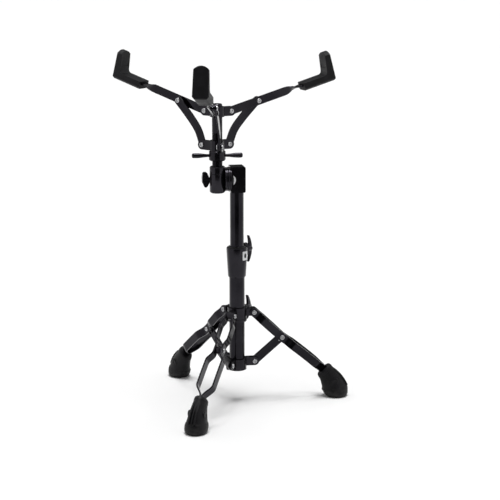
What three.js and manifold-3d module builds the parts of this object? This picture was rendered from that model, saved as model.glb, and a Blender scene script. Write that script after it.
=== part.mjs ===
// A folding snare drum stand: tripod base, telescoping column, offset tilter and a three-arm basket.
// Millimetres, +Z up. Built about the column's axis on the floor, then centred on its own footprint.

import * as THREE from 'three';
import { mergeVertices } from 'three/addons/utils/BufferGeometryUtils.js';
import Module from 'manifold-3d';

const wasm = await Module();
wasm.setup();

// ---------------------------------------------------------------- driving dimensions

const SEAM = 0.3; // air between two pieces that touch
const TUBE_SLIDE = 0.3; // radial air between the tubes and what slides on them
const LEG_NAMES = ['right', 'back', 'front'];
const ARM_NAMES = ['right', 'left', 'front'];
const COPY_STEP = (2 * Math.PI) / 3;

// Column
const BASE_TUBE_R = 14;
const BASE_TUBE_WALL = 1.2;
const BASE_TUBE_BOTTOM_Z = 61;
const BASE_TUBE_TOP_Z = 266;
const UPPER_TUBE_WALL = 1.6;
const UPPER_TUBE_PLAY = 0.4; // radial air inside the base tube
const UPPER_TUBE_BOTTOM_Z = 161;
const TUBE_SIDES = 28;

// Rivets
const RIVET_R = 3;
const RIVET_HEAD_LIP = 1.3; // how far a head stands out past its shank
const RIVET_HEAD_H = 1.7;
const RIVET_HEAD_CHAMFER = 0.9;
const RIVET_SIDES = 12;
const SLOT_EASE = 0.5;
const HOLE_RUN = 60; // long enough for any hole to go right through

// Legs, as seen in the plane of one leg: r is the distance from the column's axis
const COLLAR_PIVOT = { r: 30.6, z: 169 };
const BRACKET_PIVOT = { r: 32.4, z: 75.3 };
const LEG_MID = { r: 82.8, z: 119.3 };
const FOOT_R = 187;
const LEG_END_INSET = 25; // the strips' curve ends this far inside the sole's centre
const LEG_END_Z = 53;
const LEG_BEND = { inset: 37, z: 87.5 }; // control point of the lower part, this far inside its end
const LEG_STRIP_W = 15.5;
const LEG_STRIP_T = 3;
const COLLAR_LUG_T = 10.4;
const UPPER_BULGE = 4.5; // how far each strip bows out above the brace
const LOWER_BULGE = 8;
const LEG_FOLDED_ANGLE = THREE.MathUtils.degToRad(12);
const BRACE_T = 4;
const BRACE_W = 15.5;

// Leg collar and lower bracket
const COLLAR_HEIGHT = 26;
const COLLAR_BELOW_PIVOT = 16;
const COLLAR_WALL = 3.2;
const COLLAR_LUG_H = 14;
const COLLAR_BOSS_R = 7.5;
const COLLAR_BOSS_LENGTH = 9;
const COLLAR_BOSS_BELOW_TOP = 8;
const BRACKET_HEIGHT = 21;
const BRACKET_WALL = 3.2;
const BRACKET_LUG_H = 16;
const BRACKET_CHEEK_T = 2.8;

// Feet: oval sections, their half sizes given at shares t of the way from the sole to the mouth
const FOOT_SECTIONS = [
  { t: 0, long: 19, wide: 18 },
  { t: 0.03, long: 20.5, wide: 19.4 },
  { t: 0.15, long: 21.5, wide: 19.4 },
  { t: 0.19, long: 19.8, wide: 17.2 },
  { t: 0.23, long: 20.6, wide: 17.2 },
  { t: 0.28, long: 25.3, wide: 18.4 },
  { t: 0.36, long: 25.3, wide: 18.4 },
  { t: 0.4, long: 20.8, wide: 16.6 },
  { t: 0.55, long: 20, wide: 15.6 },
  { t: 0.75, long: 17.8, wide: 13.6 },
  { t: 0.92, long: 15.6, wide: 11.8 },
  { t: 1, long: 14.2, wide: 10.8 },
];
const FOOT_TILT = THREE.MathUtils.degToRad(44);
const FOOT_LEAN = 1.7; // how late the sections move in towards the column
const FOOT_POCKET_DEPTH = 34;
const STRIP_TO_POCKET_END = 4;

// Height clamp
const CLAMP_BOTTOM_Z = 236;
const CLAMP_TOP_Z = 291;
const CLAMP_WALL = 2.2; // at its lower end, round the base tube
const CLAMP_FLARE = 2.6; // how much wider its upper end is
const CLAMP_BOLT_Z = 284;
const CLAMP_BOLT_AZIMUTH = THREE.MathUtils.degToRad(35);
const BUSH_WALL = 2.6;
const BUSH_LIP = 1.6;
const BADGE_AZIMUTH = THREE.MathUtils.degToRad(-46);
const BADGE_W = 12.5;
const BADGE_H = 16;
const BADGE_T = 1.6;

// Wing bolts
const BOLT_R = 4;
const BOLT_BOSS_R = 5.5;
const WING_T = 4.4;
const CLAMP_WING_SPAN = 50;
const COLLAR_WING_SPAN = 46;
const COLLAR_BOLT_AZIMUTH = THREE.MathUtils.degToRad(50);

// Tilter
const TILT_AZIMUTH = THREE.MathUtils.degToRad(2);
const TILT_AXIS_Z = 416;
const TILTER_BODY_WALL = 4.4; // round the post
const TILTER_BODY_H = 48;
const TILTER_DISC_R = 22;
const TILTER_DISC_T = 3.95;
const TILTER_WALL = 1.2; // of the block, round the upper tube
const TILTER_WEB = 0.1; // of the block, between the upper tube and the disc
const TILTER_BLOCK_H = 47;
const TUBE_SEAT_DEPTH = 13; // how far the upper tube goes into the block
const KNOB_H = 27;
const KNOB_REACH = 14; // out from the body
const KNOB_T = 9;
const KNOB_NECK_H = 7;

// Basket
const BASKET_AZIMUTH = THREE.MathUtils.degToRad(16.6);
const POST_R = 9.3;
const NECK_H = 10;
const NUT_WALL = 5.4;
const NUT_H = 18;
const NUT_SPAN = 91;
const NUT_AZIMUTH = THREE.MathUtils.degToRad(-3);
const HUB_H = 18;
const HUB_WALL = 3.4;
const HUB_SPACING = 60;
const HUB_PIVOT_R = 26;
const HUB_CHEEK_T = 2.2;
const POST_ABOVE_HUB = 14;
const HUB_SIDES = 20;
const ARM_MID_ALONG = 57.1;
const ARM_SLOPE = THREE.MathUtils.degToRad(15.6);
const ARM_FOLDED_SLOPE = THREE.MathUtils.degToRad(80);
const ARM_STRIP_W = 15;
const ARM_STRIP_T = 3;
const ARM_TWIST_START = 106;
const ARM_TWIST_END = 141;
const LINK_BEND = { r: 10, z: 25 }; // from the lower pivot, where the link straightens up
const LINK_BOW = { r: 0.35, z: 0.4 }; // shares of the way from that bend to the arm
const CRADLE_START = 146;
const CRADLE_END = 210;
const CRADLE_WIDTH = 27.5;
const CRADLE_FLOOR = 9.5; // below the arm's centre line
const CRADLE_DECK = 4.8; // above it
const CRADLE_TOP = 45;
const CRADLE_WALL_FOOT = 14.6;
const CRADLE_WALL_TOP = 10;
const CRADLE_TAB_SHORT = 10; // the arm's flat tab stops this far inside the cradle's end

// ---------------------------------------------------------------- worked-out sizes

const upperTubeR = BASE_TUBE_R - BASE_TUBE_WALL - UPPER_TUBE_PLAY;
const tubeBoreR = BASE_TUBE_R + TUBE_SLIDE;
const rivetHoleR = RIVET_R + SEAM;
const rivetHeadR = RIVET_R + RIVET_HEAD_LIP;
const clampBottomR = tubeBoreR + CLAMP_WALL;
const clampTopR = clampBottomR + CLAMP_FLARE;
const tubeSeatR = upperTubeR + SEAM; // the upper tube's seat in the tilter's block
const blockRight = tubeSeatR + TILTER_WALL; // half the block's depth, and its reach past the column's axis
const slotR = rivetHoleR + SLOT_EASE;
const collarOuterR = tubeBoreR + COLLAR_WALL;
const bracketOuterR = tubeBoreR + BRACKET_WALL;
const legStripMid = COLLAR_LUG_T / 2 + SEAM + LEG_STRIP_T / 2;
const legStackHalf = legStripMid + LEG_STRIP_T / 2;
const footEnd = { r: FOOT_R - LEG_END_INSET, z: LEG_END_Z };
const postBoreR = POST_R + SEAM;
const tilterBodyR = postBoreR + TILTER_BODY_WALL;
const nutR = postBoreR + NUT_WALL;
const tilterOffset = tilterBodyR + 2 * TILTER_DISC_T + SEAM + tubeSeatR + TILTER_WEB; // column to basket
const bodyTopZ = TILT_AXIS_Z + TILTER_BODY_H / 2;
const nutBottomZ = bodyTopZ + NECK_H;
const lowerHubZ = nutBottomZ + NUT_H + SEAM + HUB_H / 2;
const upperHubZ = lowerHubZ + HUB_SPACING;
const hubOuterR = postBoreR + HUB_WALL;
const hubStack = ARM_STRIP_T / 2 + SEAM + HUB_CHEEK_T; // half a strip and one cheek beside it
const rivetHeadEnd = hubStack + SEAM / 2 + RIVET_HEAD_H;
const linkSide = rivetHeadEnd + SEAM + ARM_STRIP_T / 2; // the link passes outside the upper hub's rivets

// ---------------------------------------------------------------- finishes

const finish = (color, roughness, metalness) => () =>
  new THREE.MeshStandardMaterial({ color, roughness, metalness });
const blackPlate = finish(0x17161b, 0.22, 0.75);
const blackCasting = finish(0x1b1a1f, 0.38, 0.55);
const brightSteel = finish(0xc9c9cc, 0.25, 1);
const rubber = finish(0x121214, 0.82, 0);
const nylon = finish(0x202024, 0.6, 0);
const paleSteel = finish(0xb9babd, 0.4, 0.8);

// ---------------------------------------------------------------- solids

/** A manifold solid from a closed three.js geometry. */
function toSolid(geometry) {
  const bare = geometry.clone();
  bare.deleteAttribute('normal');
  bare.deleteAttribute('uv');
  const merged = mergeVertices(bare, 1e-4);
  return new wasm.Manifold(
    new wasm.Mesh({
      numProp: 3,
      vertProperties: new Float32Array(merged.attributes.position.array),
      triVerts: new Uint32Array(merged.index.array),
    }),
  );
}

/** A three.js geometry from a manifold solid. */
function fromSolid(solid) {
  const mesh = solid.getMesh();
  const geometry = new THREE.BufferGeometry();
  geometry.setAttribute('position', new THREE.BufferAttribute(mesh.vertProperties, 3));
  geometry.setIndex(new THREE.BufferAttribute(mesh.triVerts, 1));
  geometry.computeVertexNormals();
  return geometry;
}

const join = (...geometries) => fromSolid(geometries.map(toSolid).reduce((a, b) => a.add(b)));

const cut = (geometry, ...tools) =>
  fromSolid(tools.map(toSolid).reduce((a, b) => a.subtract(b), toSolid(geometry)));

const overlapOf = (a, b) => fromSolid(toSolid(a).intersect(toSolid(b)));

/** A body of revolution about Z. The profile lists [radius, height], anticlockwise. */
function turned(profile, sides = TUBE_SIDES) {
  const points = profile.map(([r, h]) => new THREE.Vector2(r, h));
  return new THREE.LatheGeometry(points, sides).rotateX(Math.PI / 2);
}

/** A plain tube about Z. */
function tube(outerR, innerR, bottom, top, sides = TUBE_SIDES) {
  return turned(
    [
      [outerR, bottom],
      [outerR, top],
      [innerR, top],
      [innerR, bottom],
      [outerR, bottom],
    ],
    sides,
  );
}

/** A plain solid cylinder about Z. */
function drum(radius, bottom, top, sides = TUBE_SIDES) {
  const cylinder = new THREE.CylinderGeometry(radius, radius, top - bottom, sides);
  return cylinder.rotateX(Math.PI / 2).translate(0, 0, (bottom + top) / 2);
}

/** A round bar along Y, centred on (x, y, z). */
function crossPin(radius, length, x, z, y = 0, sides = RIVET_SIDES) {
  return new THREE.CylinderGeometry(radius, radius, length, sides).translate(x, y, z);
}

/** The drill for a rivet's hole along Y, at the pivot given. */
const rivetHole = ({ r, z }) => crossPin(rivetHoleR, HOLE_RUN, r, z);

/** A round bar along X from x0 to x1. */
function axialPin(radius, x0, x1, z = 0, sides = 20) {
  const bar = new THREE.CylinderGeometry(radius, radius, x1 - x0, sides);
  return bar.rotateZ(-Math.PI / 2).translate((x0 + x1) / 2, 0, z);
}

/** A flat plate standing in the XZ plane, its thickness centred on y = side. */
function plate(outline, thickness, side = 0) {
  const settings = { depth: thickness, bevelEnabled: false, curveSegments: 5 };
  const geometry = new THREE.ExtrudeGeometry(outline, settings);
  return geometry.rotateX(Math.PI / 2).translate(0, side + thickness / 2, 0);
}

/** A bar of one section: each station carries the section's corners to their place. */
function barAlong(section, stations, place) {
  const steps = stations.length - 1;
  const geometry = new THREE.ExtrudeGeometry(section, {
    depth: steps,
    steps,
    bevelEnabled: false,
    curveSegments: 7,
  });
  const corners = geometry.attributes.position;
  for (let i = 0; i < corners.count; i += 1) {
    const station = stations[Math.round(corners.getZ(i))];
    const at = place(station, corners.getX(i), corners.getY(i));
    corners.setXYZ(i, at.x, at.y, at.z);
  }
  return geometry;
}

/** A rectangle of unit size about its centre. */
function unitSquare() {
  const square = new THREE.Shape();
  square.moveTo(-0.5, -0.5);
  square.lineTo(0.5, -0.5);
  square.lineTo(0.5, 0.5);
  square.lineTo(-0.5, 0.5);
  square.closePath();
  return square;
}

function unitCircle() {
  return new THREE.Shape().absarc(0, 0, 1, 0, 2 * Math.PI);
}

/** An upright lug outline, flat at rootX and round at the far end. */
function lugOutline(rootX, pivotX, pivotZ, height) {
  const outline = new THREE.Shape();
  outline.moveTo(rootX, pivotZ - height / 2);
  outline.lineTo(pivotX, pivotZ - height / 2);
  outline.absarc(pivotX, pivotZ, height / 2, -Math.PI / 2, Math.PI / 2, false);
  outline.lineTo(rootX, pivotZ + height / 2);
  outline.closePath();
  return outline;
}

/** A rivet along Y: a shank, two heads, and thicker sleeves between plates if asked. */
function rivet(gripHalf, sleeves = []) {
  const headBase = gripHalf + SEAM / 2;
  const end = headBase + RIVET_HEAD_H;
  const lower = [
    [0, -end],
    [rivetHeadR - RIVET_HEAD_CHAMFER, -end],
    [rivetHeadR, -end + RIVET_HEAD_CHAMFER],
    [rivetHeadR, -headBase],
    [RIVET_R, -headBase],
  ];
  const middle = sleeves.flatMap(({ radius, from, to }) => [
    [RIVET_R, from],
    [radius, from],
    [radius, to],
    [RIVET_R, to],
  ]);
  const upper = lower.map(([r, y]) => [r, -y]).reverse();
  const points = [...lower, ...middle, ...upper].map(([r, y]) => new THREE.Vector2(r, y));
  return new THREE.LatheGeometry(points, RIVET_SIDES);
}

const smooth = (edge0, edge1, x) => THREE.MathUtils.smoothstep(x, edge0, edge1);

/** Distances along a strip: a rounded start, then even steps to the far end. */
function stripStations(endRadius, length, stepLength) {
  const roundings = [28, 58].map(THREE.MathUtils.degToRad);
  const start = roundings.map((angle) => ({
    s: -endRadius * Math.cos(angle),
    width: 2 * endRadius * Math.sin(angle),
  }));
  const count = Math.round(length / stepLength);
  const rest = Array.from({ length: count + 1 }, (_, i) => ({
    s: (length * i) / count,
    width: 2 * endRadius,
  }));
  return [...start, ...rest];
}

/** A wing bolt along +X, its wing standing in the XZ plane. reach is where its crown ends. */
function wingBolt(tipX, bossX, reach, span) {
  const half = span / 2;
  const tipIn = bossX + 1;
  const wing = new THREE.Shape();
  wing.moveTo(tipIn, half - 1.5);
  wing.quadraticCurveTo(tipIn + 0.5, half + 0.8, tipIn + 3.6, half - 1);
  wing.quadraticCurveTo(2 * reach - tipIn - 3.6, 0, tipIn + 3.6, 1 - half);
  wing.quadraticCurveTo(tipIn + 0.5, -half - 0.8, tipIn, 1.5 - half);
  wing.quadraticCurveTo(bossX + 5, -half / 3, bossX + 1.5, 0);
  wing.quadraticCurveTo(bossX + 5, half / 3, tipIn, half - 1.5);
  const boss = axialPin(BOLT_BOSS_R, bossX, reach - 1.2, 0, 16);
  return join(plate(wing, WING_T), boss, axialPin(BOLT_R, tipX, bossX + 2, 0, 16));
}

// ---------------------------------------------------------------- fold kinematics

/** How far the open pivot of a folding triangle drifts at half travel, as [r, z] in the rest frame. */
function halfwayDrift(arm, link, base, armTurn, linkTurn, travel) {
  const turn = ([x, z], angle) => [
    x * Math.cos(angle) - z * Math.sin(angle),
    x * Math.sin(angle) + z * Math.cos(angle),
  ];
  const armTip = turn(arm, armTurn / 2);
  const linkTip = turn(link, linkTurn / 2);
  const gap = [armTip[0] - linkTip[0] + base[0], armTip[1] - linkTip[1] + base[1] + travel / 2];
  return turn(gap, -linkTurn / 2);
}

/** A slot's outline about the origin, from there to drift, for a pin of the given radius. */
function driftSlot([x, z], radius) {
  const angle = Math.atan2(z, x);
  const slot = new THREE.Shape();
  slot.absarc(0, 0, radius, angle + Math.PI / 2, angle + 1.5 * Math.PI, false);
  slot.absarc(x, z, radius, angle - Math.PI / 2, angle + Math.PI / 2, false);
  slot.closePath();
  return slot;
}

// ---------------------------------------------------------------- scene graph helpers

const group = new THREE.Group();

function add(parent, name, geometry, material) {
  const mesh = new THREE.Mesh(geometry, material());
  mesh.name = name;
  parent.add(mesh);
  return mesh;
}

/** A nested group turned about Z. */
function turnedGroup(parent, azimuth, x = 0, y = 0) {
  const nested = new THREE.Group();
  nested.rotation.z = azimuth;
  nested.position.set(x, y, 0);
  parent.add(nested);
  return nested;
}

// ---------------------------------------------------------------- column

function buildColumn() {
  const baseTube = tube(
    BASE_TUBE_R,
    BASE_TUBE_R - BASE_TUBE_WALL,
    BASE_TUBE_BOTTOM_Z,
    BASE_TUBE_TOP_Z,
  );
  add(group, 'base_tube', baseTube, blackPlate);
  const seatTop = TILT_AXIS_Z - TILTER_BLOCK_H / 2 + TUBE_SEAT_DEPTH;
  const upperTube = tube(upperTubeR, upperTubeR - UPPER_TUBE_WALL, UPPER_TUBE_BOTTOM_Z, seatTop);
  add(group, 'upper_tube', upperTube, blackPlate);
}

/** Tapered sleeve over the top of the base tube, holding a nylon bush and a wing bolt. */
function buildHeightClamp() {
  const bushInner = upperTubeR + TUBE_SLIDE;
  const bushOuter = bushInner + BUSH_WALL;
  const bushBottom = BASE_TUBE_TOP_Z + SEAM;
  const socketR = bushOuter + SEAM;
  const sleeve = turned([
    [clampBottomR - 1.4, CLAMP_BOTTOM_Z],
    [clampBottomR, CLAMP_BOTTOM_Z + 2.5],
    [clampTopR, CLAMP_TOP_Z - 1.5],
    [clampTopR - 1.2, CLAMP_TOP_Z],
    [socketR, CLAMP_TOP_Z],
    [socketR, bushBottom - SEAM],
    [tubeBoreR, bushBottom - SEAM],
    [tubeBoreR, CLAMP_BOTTOM_Z],
    [clampBottomR - 1.4, CLAMP_BOTTOM_Z],
  ]);
  const earDepth = clampTopR + 4 - socketR;
  const ear = new THREE.BoxGeometry(earDepth, 15, 24);
  ear.translate(socketR + earDepth / 2, 0, CLAMP_BOLT_Z);
  ear.rotateZ(CLAMP_BOLT_AZIMUTH);
  const boltHole = axialPin(BOLT_R + SEAM, bushOuter - 1, clampTopR + 10, CLAMP_BOLT_Z, 16);
  const socketBore = drum(socketR, bushBottom, CLAMP_TOP_Z + 10);
  const trimmedEar = cut(ear, socketBore);
  const badgePocket = new THREE.BoxGeometry(6, BADGE_W + 2 * SEAM, BADGE_H + 2 * SEAM);
  const badgeSeat = clampTopR - 1.6;
  const badgeZ = CLAMP_TOP_Z - 6 - BADGE_H / 2;
  badgePocket.translate(badgeSeat + 3, 0, badgeZ).rotateZ(BADGE_AZIMUTH);
  const clamp = cut(
    join(sleeve, trimmedEar),
    boltHole.rotateZ(CLAMP_BOLT_AZIMUTH),
    badgePocket,
  );
  add(group, 'height_clamp', clamp, blackCasting);

  const bushTop = CLAMP_TOP_Z + BUSH_LIP;
  add(group, 'clamp_bush', tube(bushOuter, bushInner, bushBottom, bushTop), nylon);

  const bolt = wingBolt(bushOuter + SEAM, clampTopR + 6, clampTopR + 17.2, CLAMP_WING_SPAN);
  const boltGroup = turnedGroup(group, CLAMP_BOLT_AZIMUTH);
  add(boltGroup, 'clamp_wing_bolt', bolt, blackCasting).position.z = CLAMP_BOLT_Z;

  const badge = new THREE.BoxGeometry(BADGE_T, BADGE_W, BADGE_H);
  const badgeGroup = turnedGroup(group, BADGE_AZIMUTH);
  badge.translate(badgeSeat + SEAM + BADGE_T / 2, 0, badgeZ);
  add(badgeGroup, 'clamp_plate', badge, paleSteel);
}

// ---------------------------------------------------------------- tripod

/** The sliding collar: a ring, three tongues that the legs straddle, and a boss for its wing bolt. */
function buildLegCollar() {
  const bottom = COLLAR_PIVOT.z - COLLAR_BELOW_PIVOT;
  const top = bottom + COLLAR_HEIGHT;
  const tongues = LEG_NAMES.map((_, i) => {
    const outline = lugOutline(tubeBoreR + 1, COLLAR_PIVOT.r, COLLAR_PIVOT.z, COLLAR_LUG_H);
    return plate(outline, COLLAR_LUG_T).rotateZ(i * COPY_STEP);
  });
  const bossZ = top - COLLAR_BOSS_BELOW_TOP;
  const bossEnd = collarOuterR + COLLAR_BOSS_LENGTH;
  const boss = axialPin(COLLAR_BOSS_R, tubeBoreR + 1, bossEnd, bossZ, 20);
  boss.rotateZ(COLLAR_BOLT_AZIMUTH);
  const ring = tube(collarOuterR, tubeBoreR, bottom, top);
  const bore = drum(tubeBoreR, bottom - 1, top + 1);
  const rivetHoles = LEG_NAMES.map((_, i) =>
    rivetHole(COLLAR_PIVOT).rotateZ(i * COPY_STEP),
  );
  const boltHole = axialPin(BOLT_R + SEAM, tubeBoreR - 2, bossEnd + 2, bossZ, 16);
  boltHole.rotateZ(COLLAR_BOLT_AZIMUTH);
  const collar = cut(join(ring, ...tongues, boss), bore, ...rivetHoles, boltHole);
  add(group, 'leg_collar', collar, blackCasting);

  const bolt = wingBolt(tubeBoreR + SEAM, bossEnd + 5, bossEnd + 19, COLLAR_WING_SPAN);
  const boltGroup = turnedGroup(group, COLLAR_BOLT_AZIMUTH);
  add(boltGroup, 'collar_wing_bolt', bolt, blackCasting).position.z = bossZ;
}

/** The fixed bracket at the tube's foot: a ring and three pairs of cheeks for the braces. */
function buildLowerBracket() {
  const ring = tube(
    bracketOuterR,
    tubeBoreR,
    BASE_TUBE_BOTTOM_Z,
    BASE_TUBE_BOTTOM_Z + BRACKET_HEIGHT,
  );
  const cheekMid = BRACE_T / 2 + SEAM + BRACKET_CHEEK_T / 2;
  const outline = () =>
    lugOutline(tubeBoreR + 1, BRACKET_PIVOT.r, BRACKET_PIVOT.z, BRACKET_LUG_H);
  const cheeks = LEG_NAMES.flatMap((_, i) =>
    [-cheekMid, cheekMid].map((side) =>
      plate(outline(), BRACKET_CHEEK_T, side).rotateZ(i * COPY_STEP),
    ),
  );
  const holes = LEG_NAMES.map((_, i) =>
    rivetHole(BRACKET_PIVOT).rotateZ(i * COPY_STEP),
  );
  const bore = drum(tubeBoreR, BASE_TUBE_BOTTOM_Z - 1, BASE_TUBE_BOTTOM_Z + 2 * BRACKET_HEIGHT);
  add(group, 'lower_bracket', cut(join(ring, ...cheeks), bore, ...holes), blackCasting);
}

/** The leg's centre line in its own plane, by distance from the collar pivot. */
function legLine() {
  const line = new THREE.CurvePath();
  const top = new THREE.Vector2(COLLAR_PIVOT.r, COLLAR_PIVOT.z);
  const mid = new THREE.Vector2(LEG_MID.r, LEG_MID.z);
  const bend = new THREE.Vector2(footEnd.r - LEG_BEND.inset, LEG_BEND.z);
  const end = new THREE.Vector2(footEnd.r, footEnd.z);
  line.add(new THREE.LineCurve(top, mid));
  line.add(new THREE.QuadraticBezierCurve(mid, bend, end));
  const reach = end.clone().sub(bend).setLength(FOOT_POCKET_DEPTH - STRIP_TO_POCKET_END);
  line.add(new THREE.LineCurve(end, end.clone().add(reach)));
  return line;
}

/** Half the distance between the two strips of a leg, at distance s from the collar pivot. */
function stripSpread(s, midAt, endAt) {
  const flat = LEG_STRIP_W / 2 + 1;
  const upper = smooth(flat, flat + 14, s) - smooth(midAt - flat - 14, midAt - flat, s);
  const opening = smooth(midAt + flat, midAt + flat + 18, s);
  const closing = smooth(endAt - 26, endAt - 2, s);
  const closed = LEG_STRIP_T / 2 + SEAM / 2;
  const open = legStripMid + UPPER_BULGE * upper + LOWER_BULGE * opening;
  return THREE.MathUtils.lerp(open, closed, closing);
}

/** One of a leg's two strips. side is +1 or -1. */
function legStrip(line, side) {
  const length = line.getLength();
  const [upperLength, lowerEnd] = line.getCurveLengths();
  const stations = stripStations(LEG_STRIP_W / 2, length, 8);
  const spread = (s) => stripSpread(s, upperLength, lowerEnd);
  const probe = 0.5;
  const place = ({ s, width }, across, through) => {
    const along = THREE.MathUtils.clamp(s / length, 0, 1);
    const tangent = line.getTangentAt(along);
    const centre = line.getPointAt(along).addScaledVector(tangent, Math.min(s, 0));
    const slope = (spread(s + probe) - spread(s - probe)) / (2 * probe);
    const wide = new THREE.Vector3(-tangent.y, 0, tangent.x);
    const run = new THREE.Vector3(tangent.x, side * slope, tangent.y).normalize();
    const thick = new THREE.Vector3().crossVectors(run, wide);
    return new THREE.Vector3(centre.x, side * spread(s), centre.y)
      .addScaledVector(wide, across * width)
      .addScaledVector(thick, through * LEG_STRIP_T);
  };
  const strip = barAlong(unitSquare(), stations, place);
  return cut(strip, rivetHole(COLLAR_PIVOT), rivetHole(LEG_MID));
}

/** Rubber foot: oval sections from a flared sole up to a mouth that faces along the leg. */
function foot(line) {
  const tip = line.getPointAt(1);
  const direction = line.getTangentAt(1);
  const place = ({ t, long, wide }, x, y) => {
    const tilt = FOOT_TILT * smooth(0.1, 0.95, t);
    const across = long * x;
    return new THREE.Vector3(
      FOOT_R - (FOOT_R - footEnd.r) * t ** FOOT_LEAN + across * Math.cos(tilt),
      wide * y,
      footEnd.z * t + across * Math.sin(tilt),
    );
  };
  const body = barAlong(unitCircle(), FOOT_SECTIONS, place);
  const slot = new THREE.BoxGeometry(
    2 * FOOT_POCKET_DEPTH,
    2 * LEG_STRIP_T + 3 * SEAM,
    LEG_STRIP_W + 2 * SEAM,
  );
  slot.translate(-FOOT_POCKET_DEPTH, 0, 0);
  slot.rotateY(-Math.atan2(direction.y, direction.x));
  slot.translate(tip.x + direction.x, 0, tip.y + direction.y);
  return cut(body, slot);
}

/** Brace strip, hung on the bracket, with a slot that lets the leg's rivet drift as the legs fold. */
function brace() {
  const legUpper = [LEG_MID.r - COLLAR_PIVOT.r, LEG_MID.z - COLLAR_PIVOT.z];
  const link = [LEG_MID.r - BRACKET_PIVOT.r, LEG_MID.z - BRACKET_PIVOT.z];
  const legLength = Math.hypot(...legUpper);
  const length = Math.hypot(...link);
  const legTurn = LEG_FOLDED_ANGLE - Math.atan2(legUpper[0], -legUpper[1]);
  const foldedR = COLLAR_PIVOT.r - BRACKET_PIVOT.r + legLength * Math.sin(LEG_FOLDED_ANGLE);
  const foldedAngle = Math.asin(foldedR / length);
  const braceTurn = Math.atan2(link[0], link[1]) - foldedAngle;
  const foldedHeight = legLength * Math.cos(LEG_FOLDED_ANGLE) + length * Math.cos(foldedAngle);
  const travel = foldedHeight - (COLLAR_PIVOT.z - BRACKET_PIVOT.z);
  const base = [COLLAR_PIVOT.r - BRACKET_PIVOT.r, COLLAR_PIVOT.z - BRACKET_PIVOT.z];
  const drift = halfwayDrift(legUpper, link, base, legTurn, braceTurn, travel);

  const angle = Math.atan2(link[1], link[0]);
  const endR = BRACE_W / 2;
  const outline = new THREE.Shape();
  outline.absarc(0, 0, endR, Math.PI / 2, 1.5 * Math.PI, false);
  outline.absarc(length, 0, endR, -Math.PI / 2, Math.PI / 2, false);
  outline.closePath();
  const bar = plate(outline, BRACE_T).rotateY(-angle);
  const slot = plate(driftSlot(drift, slotR), 3 * BRACE_T).translate(link[0], 0, link[1]);
  const placed = cut(bar, slot, rivetHole({ r: 0, z: 0 }));
  return placed.translate(BRACKET_PIVOT.r, 0, BRACKET_PIVOT.z);
}

function buildTripod() {
  const line = legLine();
  const sleeve = (sign) => ({
    radius: RIVET_R + 2.5,
    from: sign < 0 ? -legStackHalf + LEG_STRIP_T + SEAM : BRACE_T / 2 + SEAM,
    to: sign < 0 ? -BRACE_T / 2 - SEAM : legStackHalf - LEG_STRIP_T - SEAM,
  });
  const cheekHalf = BRACE_T / 2 + SEAM + BRACKET_CHEEK_T;
  LEG_NAMES.forEach((name, i) => {
    const leg = turnedGroup(group, i * COPY_STEP);
    add(leg, `leg_${name}_strip_1`, legStrip(line, 1), blackPlate);
    add(leg, `leg_${name}_strip_2`, legStrip(line, -1), blackPlate);
    add(leg, `foot_${name}`, foot(line), rubber);
    add(leg, `brace_${name}`, brace(), blackPlate);
    const pins = [
      [`collar_rivet_${name}`, COLLAR_PIVOT, rivet(legStackHalf)],
      [`leg_rivet_${name}`, LEG_MID, rivet(legStackHalf, [sleeve(-1), sleeve(1)])],
      [`bracket_rivet_${name}`, BRACKET_PIVOT, rivet(cheekHalf)],
    ];
    for (const [pinName, { r, z }, geometry] of pins) {
      add(leg, pinName, geometry, brightSteel).position.set(r, 0, z);
    }
  });
}

// ---------------------------------------------------------------- tilter

/** A stubby knob on a bolt along +X: six-sided, leaning out from a narrow neck at faceX. */
function tiltKnob(tipX, faceX) {
  const neckX = faceX + SEAM;
  const outX = faceX + KNOB_REACH;
  const half = KNOB_H / 2;
  const neck = KNOB_NECK_H / 2;
  const grip = new THREE.Shape();
  grip.moveTo(neckX, -neck);
  grip.lineTo(neckX + KNOB_REACH / 3, -half);
  grip.lineTo(neckX + (2 * KNOB_REACH) / 3, -half);
  grip.lineTo(outX, -half / 3);
  grip.lineTo(outX, half * 0.4);
  grip.lineTo(outX - KNOB_REACH / 5, half);
  grip.lineTo(neckX + KNOB_REACH / 3, half);
  grip.lineTo(neckX, neck);
  grip.closePath();
  return join(plate(grip, KNOB_T), axialPin(BOLT_R, tipX, neckX + 1, 0, 16));
}

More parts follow.
